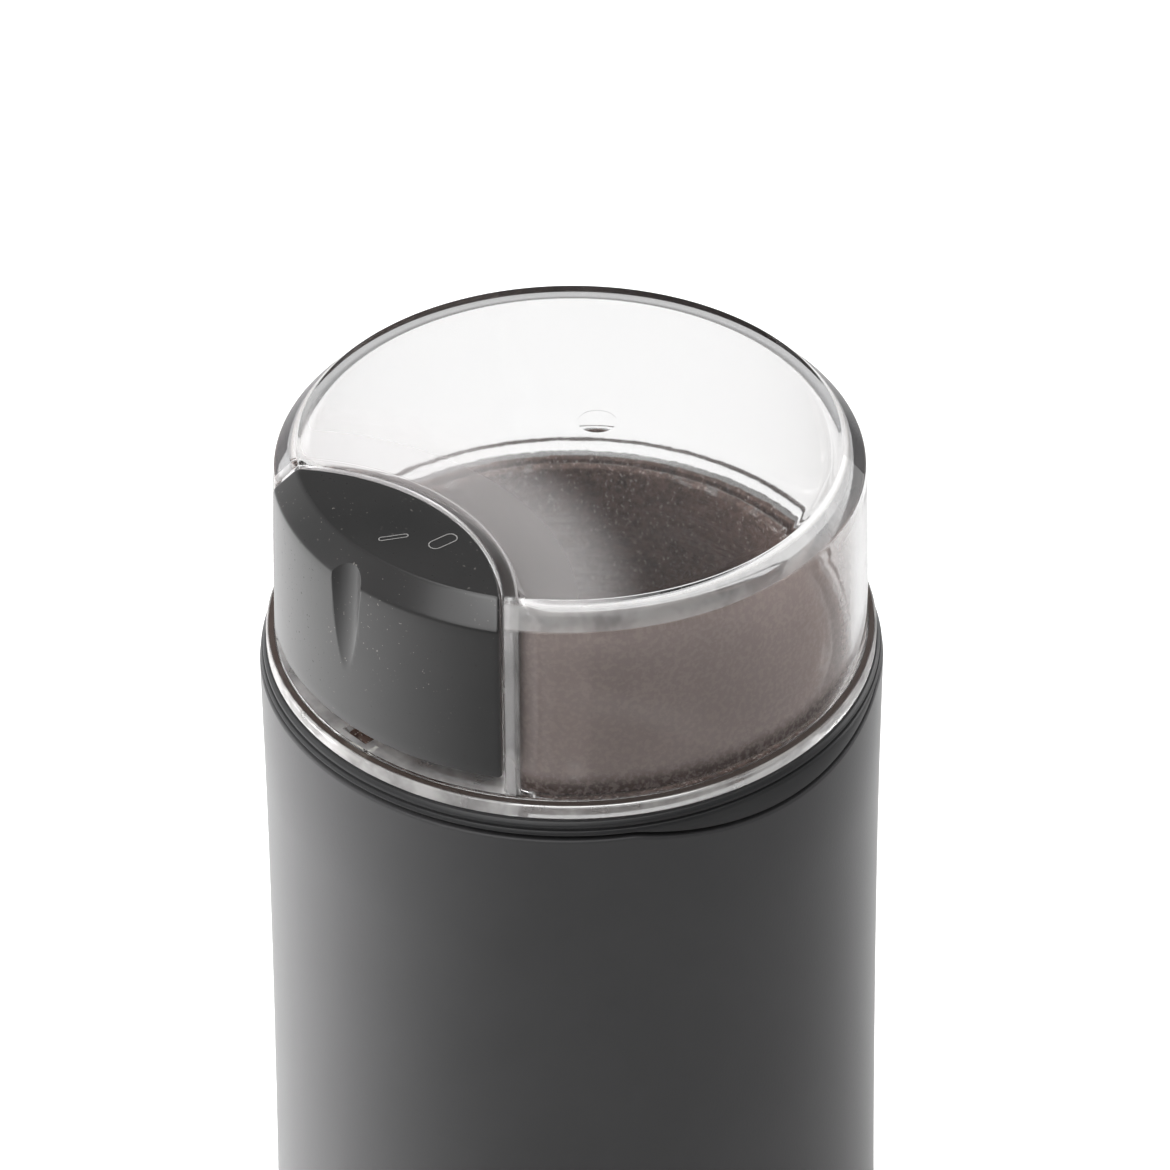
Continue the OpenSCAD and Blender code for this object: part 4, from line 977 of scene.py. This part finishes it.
# %% [markdown]
# ## The clear lid
# The lid is a clear cup, upside down, with a sloped edge round its top. A lens-
# shaped pocket for the button is sunk into one side: its back is part of a large
# upright cylinder, and it meets the lid's round wall in soft fillets. A Bevel
# modifier can't round such a crossing evenly. So the outside is turned, the hollow
# is lofted through level outlines that already hold the fillets, and the pocket is
# carved out with a second loft.

# %% The lid's radius at each height
flat_border = 0.6   # a thin flat ring inside a rounded edge keeps a wide flat face truly flat


def wall_at(up):
    """The lid's outer radius at a height, over its bulging side wall."""
    share = (wall_high[1] - up) / (wall_high[1] - wall_low[1])
    return wall_high[0] + (wall_low[0] - wall_high[0]) * min(1, max(0, share)) ** 0.6


def outer_at(up, proud=0.0):
    """The same over the sloped edge too."""
    if up <= wall_high[1]:
        return wall_at(up) + proud
    slope = (wall_high[0] - chamfer_foot) / (lid_top - wall_high[1])
    return wall_high[0] - slope * (up - wall_high[1]) + proud


side_heights = [wall_low[1] + (wall_high[1] - wall_low[1]) * (k / 16) for k in range(17)]
print("wall is", round(wall_at(154), 2), "from the axis at half height")


# %% Where the round wall meets the pocket
def meeting(outer, back, radius, inside):
    """Centre of a fillet between the round wall and the pocket's cylinder."""
    a, b = outer - radius, back + (-radius if inside else radius)
    y = (b * b - a * a - pocket_centre[1] ** 2) / (-2 * pocket_centre[1])
    return math.sqrt(max(0.01, a * a - y * y)), y


# %% Level outlines of the hollow, the button and the pocket
def hollow_outline(outer, back, radius):
    """Inside the round wall and behind the pocket's back wall."""
    x, y = meeting(outer, back, radius, False)
    right = math.atan2(y, x)
    down = math.atan2(pocket_centre[1] - y, x)
    back_right = math.atan2(y - pocket_centre[1], x)
    far = arc((0, 0), outer, right, math.pi - right, 200)
    turn_left = arc((-x, y), radius, math.pi - right, 2 * math.pi + down, 16)
    near = arc(pocket_centre, back, math.pi - back_right, back_right, 60)
    turn_right = arc((x, y), radius, -math.pi - down, right, 16)
    return far + turn_left[1:] + near[1:] + turn_right[1:-1]


def lens_outline(outer, back, radius):
    """Inside both circles, with its two tips rounded."""
    x, y = meeting(outer, back, radius, True)
    right = math.atan2(y, x)
    back_right = math.atan2(y - pocket_centre[1], x)
    front = arc((0, 0), outer, -math.pi - right, right, 120)
    tip_right = arc((x, y), radius, right, back_right, 8)
    behind = arc(pocket_centre, back, back_right, math.pi - back_right, 90)
    tip_left = arc((-x, y), radius, math.pi - back_right, math.pi - right, 8)
    return front + tip_right[1:] + behind[1:] + tip_left[1:-1]


def pocket_outline(outer, back):
    """Behind the pocket's arc, opening outwards at its two ends."""
    lead_in = 0.3
    x, y = meeting(outer - lead_in, back, 0, True)
    end = math.atan2(y - pocket_centre[1], x)
    outline = arc(pocket_centre, back, end, math.pi - end, 120)
    away = Vector((x, y)).normalized()
    slant = (away + Vector((-away.y, away.x))).normalized()
    first = Vector((x, y)) + slant * 1.1
    second = first + away * 3
    far_left, far_right = (-40, -70), (40, -70)
    return outline + [(-first.x, first.y), (-second.x, second.y), far_left, far_right,
                      (second.x, second.y), (first.x, first.y)]


print("level outlines have", len(hollow_outline(41, 35, 6)), "points in the hollow and",
      len(lens_outline(43, 32.65, 0.4)), "in the button")

# %% The lid's solid parts
def lid_outside():
    """The lid as a solid body, from its foot ring up to its flat top."""
    foot_r, foot_top = wall_low[0] + 1.35, lid_low + 2.2
    outline = [(0, lid_low), (foot_r, lid_low, 0.25), (foot_r, foot_top, 0.5),
               (wall_low[0], foot_top + 0.15, 0.2)]
    outline += [(wall_at(up), up) for up in side_heights[1:-1]]
    outline += [(*wall_high, 0.7), (chamfer_foot, lid_top, 0.5),
                (chamfer_foot - flat_border, lid_top), (0, lid_top)]
    return build("lid_clear_cup", turned(soften(outline), segments=320))


def lid_hollow():
    """What the lid encloses, with its roof's inner edge rounded off."""
    back, round_off = pocket_r + pocket_wall, 0.9
    low_r, high_r = wall_high[0] - lid_wall, chamfer_foot - lid_wall / 2
    low_z, high_z = wall_high[1], lid_top - roof
    levels = [(up, hollow_outline(wall_at(up) - lid_wall, back, fillet))
              for up in [sill_low - 0.01, 141.0] + side_heights[2:-1]]
    for k in range(7):
        angle = math.pi / 2 * k / 6
        up = high_z - round_off * (1 - math.sin(angle))
        inset = round_off * (1 - math.cos(angle))
        share = max(0, (up - low_z) / (high_z - low_z))
        outer = low_r + (high_r - low_r) * share - inset
        levels.append((up, hollow_outline(outer, back + inset, fillet - inset)))
    outer, inset = outer - flat_border, inset + flat_border
    levels.append((up, hollow_outline(outer, back + inset, fillet - inset)))
    return build("tool", lofted(levels))


def pocket_tool():
    """What the pocket takes away, with a rounded corner on the sill and a bevelled edge."""
    levels = []
    for inset, up in ((0.6, sill_top), (0.35, sill_top + 0.06), (0.18, sill_top + 0.18),
                      (0.06, sill_top + 0.35), (0.0, sill_top + 0.6)):
        levels.append((up, pocket_outline(outer_at(up), pocket_r - inset)))
    for up in side_heights[1:] + [lid_top - 0.3]:
        levels.append((up, pocket_outline(outer_at(up), pocket_r)))
    for grow, up in ((0.06, lid_top - 0.15), (0.3, lid_top + 0.05), (1.2, lid_top + 1)):
        levels.append((up, pocket_outline(outer_at(min(up, lid_top)), pocket_r + grow)))
    return build("tool", lofted(levels))


# %% What is cut from the lid and added to it
def sill_step():
    """The small step at the sill's outer end, kept to the pocket's own outline."""
    inner, outer, past, high, low = 43.05, 43.5, 46, sill_top + 0.06, sill_top - 0.38
    outline = [(inner, high), (outer, low), (past, low), (past, sill_top + 1),
               (inner, sill_top + 1)]
    ring = build("tool", turned(outline, segments=320))
    return cut(ring, pocket_tool(), "INTERSECT")


def spring_post(side):
    """A post on the sill that a return spring stands on."""
    foot, top, post_r = sill_top - 0.5, sill_top + 6, 2
    outline = soften([(0, foot), (post_r, foot), (post_r, top, 0.5), (0, top)])
    return build("tool", turned(outline, (side * post_across, post_along), 64))


def dimple():
    """A shallow dish in the roof, where the mould was filled."""
    dish_r, rim_depth, depth, along, count = 2.8, 0.04, 0.15, 5.4, 12
    outline = []
    for k in range(count + 1):
        deep = rim_depth + depth * math.cos(math.pi / 2 * k / count)
        outline.append((dish_r * k / count, lid_top - deep))
    outline += [(dish_r, lid_top + 1), (0, lid_top + 1)]
    return build("tool", turned(outline, (0, along), 96))


# %% The lid
def clear_lid():
    lid = cut(lid_outside(), lid_hollow())
    cut(lid, bar_tool(wall_low[0] - lid_wall + 0.02, lid_low - 1, sill_low, segments=320))
    cut(lid, pocket_tool())
    cut(lid, sill_step())
    for side in (-1, 1):
        cut(lid, spring_post(side), "UNION")
    cut(lid, box_tool((-2.5, -rod_r - 1.4, lid_low - 1), (2.5, -rod_r + 1.4, sill_top + 1)))
    cut(lid, dimple())
    return present(lid, "lid_body", "lid_clear", "lid")


clear_lid()

# %% [markdown]
# ## The press button
# The button fills the pocket and carries the lid's side wall and sloped edge on
# across it, a third of a millimetre proud. It is lofted through lens-shaped
# level outlines, which is the way to round its long top edge evenly. A thumb
# notch is then carved into its front by a round bar that leans in towards the top:
# such a bar leaves the long drop shape by itself. A second, wider bar eases the
# notch's edge.

# %% The button's shell
button_low, proud, gap, skin, tip_r = 143.3, 0.35, 0.35, 1.8, 0.5
shoulder_ease = ((168.0, 0.0), (168.25, 0.025), (168.4, 0.06), (168.55, 0.025), (168.8, 0.0))


def button_loft(inset, low, high, edge):
    """The button's form, shrunk by an inset, with a rounded edge."""
    back = pocket_r - gap - inset
    levels = []
    for k in range(5):
        angle = math.pi / 2 * k / 4
        up = low + edge * (1 - math.cos(angle))
        shrink = edge * (1 - math.sin(angle))
        outer = outer_at(up, proud) - inset - shrink
        levels.append((up, lens_outline(outer, back - shrink, tip_r)))
    heights = [up for up in side_heights if low + edge + 0.2 < up < wall_high[1] - 0.5]
    for up, ease in [(up, 0.0) for up in heights] + list(shoulder_ease):
        levels.append((up, lens_outline(outer_at(up, proud) - inset - ease, back, tip_r)))
    for k in range(7):
        angle = math.pi / 2 * k / 6
        up = high - edge * (1 - math.sin(angle))
        shrink = edge * (1 - math.cos(angle))
        outer = outer_at(up, proud) - inset - shrink * 0.55
        levels.append((up, lens_outline(outer, back - shrink, tip_r)))
    outer, shrink = outer - flat_border, shrink + flat_border
    levels.append((up, lens_outline(outer, back - shrink, tip_r - 0.1)))
    return levels


def notch_tool(radius, start, depth):
    """A round bar that leans into the front: start deep at its tip, depth at the slope."""
    tip_z, run = 153.8, 16.1
    low = Vector((0, -(wall_at(tip_z) + proud + radius - start), tip_z))
    high = Vector((0, -(wall_high[0] + proud + radius - depth), tip_z + run))
    way = (high - low).normalized()
    turn = Vector((0, 0, 1)).rotation_difference(way).to_matrix()
    points, faces = turned([(0, -3), (radius, -3), (radius, run + 8), (0, run + 8)], segments=180)
    return build("tool", ([tuple(turn @ Vector(p) + low) for p in points], faces))


# %% The button
def press_button():
    edge, top = 0.45, lid_top - 0.04
    button = build("press_button", lofted(button_loft(0, button_low, top, edge)))
    cut(button, build("tool", lofted(button_loft(skin, button_low - 2, lid_top - 2.2, edge))))
    forms = model_copy("button", "button_forms")
    inside = button_loft(skin - 0.1, button_low - 1, lid_top - 2.1, edge)
    cut(forms, build("tool", lofted(inside)), "INTERSECT")
    cut(button, notch_tool(4.1, 0.0, 1.6))
    cut(button, notch_tool(9.0, 0.02, 0.68))
    return present(joined(button, forms), "button_body", "button_black", "button")


press_button()

# %% [markdown]
# ## The marks on the button
# A stroke for on and a ring for off are printed as fine pale outlines. A Text
# object would need a font, and a printed line has no relief worth a Bump. Each mark
# is a closed flat band, sunk into the top so that only its face shows.

# %% The marks
def band(outline, width, low, high):
    """A flat closed band along a convex outline."""
    centre = Vector((sum(x for x, _ in outline), sum(y for _, y in outline))) / len(outline)
    count = len(outline)
    inner = []
    for k in range(count):
        here = Vector(outline[k])
        along = (Vector(outline[(k + 1) % count]) - Vector(outline[k - 1])).normalized()
        inward = Vector((-along.y, along.x))
        if inward.dot(centre - here) < 0:
            inward = -inward
        inner.append(tuple(here + inward * width))
    points, faces = [], []
    for up in (low, high):
        points += [(x, y, up) for x, y in outline] + [(x, y, up) for x, y in inner]
    over = 2 * count
    for k in range(count):
        k2 = (k + 1) % count
        o0, o1, i0, i1 = k, k2, count + k, count + k2
        faces += [(o0, o1, o1 + over, o0 + over), (i1, i0, i0 + over, i1 + over),
                  (o0 + over, o1 + over, i1 + over, i0 + over), (o1, o0, i0, i1)]
    return points, faces


def rounded_bar(centre, length, width, turn):
    """An upright bar's outline with round ends, turned by degrees."""
    half = (length - width) / 2
    ends = arc((0, half), width / 2, 0, math.pi, 16)
    ends += arc((0, -half), width / 2, math.pi, 2 * math.pi, 16)
    spin = Matrix.Rotation(math.radians(turn), 2)
    return [tuple(spin @ Vector(p) + Vector(centre)) for p in ends]


def button_marks():
    line, low = 0.16, lid_top - 0.3
    stroke = rounded_bar((0.8, -34.55), 4.3, 0.9, -30)
    ring = rounded_bar((6.3, -30.2), 4.6, 2.1, -6)
    marks = joined(build("button_marks", band(stroke, line, low, lid_top)),
                   build("tool", band(ring, line, low, lid_top)))
    finishes["mark_grey"] = plastic("mark_grey", (0.25, 0.245, 0.24), 0.5)
    return present(marks, "button_body", "button_black", finish="mark_grey")


button_marks()

# %% [markdown]
# ## The grinding bowl
# The bowl is drawn from thin steel sheet. It has a flat rim, a straight wall and
# a wide round corner down to its floor, which carries a collar for the shaft. A
# Solidify modifier could thicken one surface. Here one outline goes down the outside
# and back up the inside, so that the rim's own small edges can be drawn as well.

# %% The bowl
def grinding_bowl():
    hole_r, corner_r, rim_low = 7.1, 9.4, 138.2
    outer, edge = bowl_r + bowl_sheet, bowl_r + bowl_sheet + 1
    centre = (bowl_r - 0.8 - corner_r, bowl_floor + corner_r)
    outline = [(hole_r, bowl_floor - bowl_sheet)]
    outline += arc(centre, corner_r + bowl_sheet, -math.pi / 2, 0, 14)
    outline += [(outer, rim_low - 1), (outer, rim_low), (edge - 0.25, rim_low),
                (edge, rim_low + 0.25), (edge, rim_top - 0.3), (edge - 0.1, rim_top - 0.1),
                (edge - 0.3, rim_top), (bowl_r + 0.3, rim_top), (bowl_r + 0.1, rim_top - 0.1),
                (bowl_r, rim_top - 0.3), (bowl_r, rim_low - 1)]
    outline += arc(centre, corner_r, 0, -math.pi / 2, 14) + [(hole_r, bowl_floor)]
    bowl = build("steel_bowl", turned(outline, segments=288))
    return present(bowl, "base", "bowl_steel", "grinding_bowl")


grinding_bowl()

# %% [markdown]
# ## The blade
# Two arms of one steel strip. The middle is flat, because the nut clamps it. From
# there each arm twists to its pitch, and one bends up while the other bends down.
# A flat shape under two Simple Deform modifiers would twist its middle too. A loft
# along the strip bends it only where it should, and grinds one edge of each arm thin.

# %% The blade's outline
arm_end, disc_r, flat_half = 30.4, 7.5, 6.5


def strip_edge(out, side):
    """How far one edge lies from the strip's middle line: side is -1 leading, 1 trailing."""
    if side < 0:
        marks = ((0, 4.5), (22, 4.5), (28.5, 1.35), (arm_end, -1.3))
    else:
        marks = ((0, 4.5), (22, 4.5), (29.8, 3.6), (arm_end, 2.4))
    arm = float(np.mean([np.interp(out + k * 0.25, *zip(*marks)) for k in (-2, -1, 0, 1)]))
    disc = math.sqrt(max(0, disc_r ** 2 - out ** 2))
    return (arm ** 8 + disc ** 8) ** (1 / 8) if out < disc_r + 0.5 else arm


def ease(value, low, high):
    """0 below low, 1 above high, and a soft curve between."""
    share = min(1, max(0, (value - low) / (high - low)))
    return share * share * (3 - 2 * share)


print("blade is", round(strip_edge(15, -1) + strip_edge(15, 1), 2), "wide along its arms")


# %% The blade
def blade_section(along):
    """One cross-section of the strip: (along, its eight points)."""
    thick, thin, corner, ground, pitch, climb, low = 1.5, 0.12, 0.08, 2.6, 12, 3.2, 104.6
    out, side = abs(along), 1 if along >= 0 else -1
    edges = [strip_edge(out, -1), strip_edge(out, 1)]
    if side < 0:
        edges.reverse()
    start, end = -edges[0], edges[1]
    sharp = (thick - thin) * ease(out, 8.5, 10.5)
    left, right = (sharp, 0) if side > 0 else (0, sharp)
    bevel = min(ground, 0.6 * (end - start))
    ring = [(start + corner, 0), (end - corner, 0), (end, corner), (end, thick - right),
            (end - bevel, thick), (start + bevel, thick), (start, thick - left), (start, corner)]
    twist = math.radians(pitch) * side * ease(out, flat_half - 0.1, 12)
    rise = max(0, out - flat_half - 2 * (1 - ease(out, flat_half, 10.5)))
    middle = low + thick / 2 + side * climb * rise / (arm_end - flat_half)
    points = []
    for y, z in ring:
        z -= thick / 2
        points.append((y * math.cos(twist) - z * math.sin(twist),
                       y * math.sin(twist) + z * math.cos(twist) + middle))
    return along, points


def twisted_blade():
    """A loft along the strip, with sections close together at its bends and tips."""
    half = [k * 0.75 for k in range(8)] + [6 + k * 0.4 for k in range(1, 20)]
    half += [14 + k for k in range(7)] + [21 + k * 0.3 for k in range(1, 32)] + [arm_end]
    stations = [-out for out in reversed(half[1:])] + half
    points, faces = lofted([blade_section(along) for along in stations])
    blade = build("twisted_blade", ([(up, y, z) for y, z, up in points], faces))
    cut(blade, bar_tool(2.52, 100, 112))
    return present(smooth(blade, 18), "rotor", "blade_steel", "blade")


twisted_blade()

# %% [markdown]
# ## Springs
# A coil spring is a wire that follows a spiral. A Screw modifier could wind it too,
# but Geometry Nodes has the spiral as one node with its turns and height as sizes.
# So the recipe sweeps a small circle along a spiral and moves it to its seat.

# %% The recipe for a coil spring
coiling = Recipe("coil spring", {"Turns": 6.0, "Radius": 0.0027, "Wire": 0.0003, "Height": 0.0125,
                                 "At x": 0.0, "At y": 0.0, "At z": 0.0})


def write_coiling():
    r, size = coiling, coiling.inputs
    height = size["Height"] - size["Wire"] * 2
    spiral = r.add("GeometryNodeCurveSpiral", {}, {
        "Resolution": 32, "Rotations": size["Turns"], "Start Radius": size["Radius"],
        "End Radius": size["Radius"], "Height": height})
    ring = r.add("GeometryNodeCurvePrimitiveCircle", {}, {
        "Resolution": 10, "Radius": size["Wire"]})
    wire = r.add("GeometryNodeCurveToMesh", {}, {
        "Curve": spiral, "Profile Curve": ring, "Fill Caps": True})
    seat = r.join_xyz(size["At x"], size["At y"], size["At z"] + size["Wire"])
    moved = r.add("GeometryNodeTransform", {}, {"Geometry": wire, "Translation": seat})
    r.end(moved, finishes["spring_steel"])


write_coiling()
print("spring recipe has", len(coiling.tree.nodes), "nodes")


def coil(name, **sizes):
    """One spring, in metres."""
    piece = bpy.data.objects.new(name, bpy.data.meshes.new(name))
    bpy.context.scene.collection.objects.link(piece)
    return smooth(cleaned(coiling.use_on(piece, **sizes)))


# %% The springs of the button and of the push rod
def springs():
    upright, rod_seat = (0, 0, 1), 100.0
    left, right = [coil("return_springs", At_x=side * post_across * MM, At_y=post_along * MM,
                        At_z=sill_top * MM) for side in (-1, 1)]
    pair = present(joined(left, right), "lid_body", "spring_steel", "button_springs")
    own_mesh(pair)
    rod = coil("rod_return_spring", Turns=8.0, Radius=0.0018, Wire=0.00025, Height=0.012,
               At_y=-rod_r * MM, At_z=rod_seat * MM)
    present(rod, "base", "spring_steel", "push_rod_spring")
    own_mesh(rod)


springs()

# %% [markdown]
# ## The screws under the base
# Four pan-head screws hold the base cover. Four objects could be placed by hand, but
# then each change of the screw has to be made four times. So one screw is turned and
# gets its cross recess, and a recipe sets copies of it on a grid of points, each
# turned by its own amount, because a screw stops where it is tight.

# %% The recipe for screws on a grid
setting = Recipe("screws on a grid", {"Across": 0.034, "Along": 0.060, "Seed": 3})


def write_setting():
    r, size = setting, setting.inputs
    grid = r.add("GeometryNodeMeshGrid", {}, {
        "Size X": size["Across"], "Size Y": size["Along"], "Vertices X": 2, "Vertices Y": 2})
    turn = r.add("FunctionNodeRandomValue", {"data_type": "FLOAT_VECTOR"}, {
        0: (0, 0, 0), 1: (0, 0, math.pi / 2), "Seed": size["Seed"]})
    copies = r.add("GeometryNodeInstanceOnPoints", {}, {
        "Points": grid, "Instance": size["Start"], "Rotation": turn})
    r.end(copies, finishes["screw_steel"])


write_setting()
print("screw recipe has", len(setting.tree.nodes), "nodes")


# %% The base screws
def base_screws():
    head_r, shaft_r, face, under_head, tip = 2.75, 1.3, 2.8, 4.6, 20.0
    recess_half, recess_width, recess_depth, recess_taper = 1.75, 0.76, 1.2, 0.6
    low, high = [Vector(corner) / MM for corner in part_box("base_screws")]
    outline = [(0, face), (head_r, face, 0.6), (head_r, under_head, 0.15),
               (shaft_r, under_head), (shaft_r, tip, 0.4), (0, tip)]
    screw = build("cover_screws", turned(soften(outline), segments=48))
    for x, y in ((recess_half, recess_width / 2), (recess_width / 2, recess_half)):
        wide = [(-x, -y), (x, -y), (x, y), (-x, y)]
        narrow = [(across * recess_taper, along * recess_taper) for across, along in wide]
        cut(screw, build("tool", lofted([(face - 0.1, wide), (face + recess_depth, narrow)])))
    setting.use_on(screw, Across=(high.x - low.x - 2 * head_r) * MM,
                   Along=(high.y - low.y - 2 * head_r) * MM)
    return present(smooth(cleaned(screw)), "base", "screw_steel", "base_screws")


base_screws()
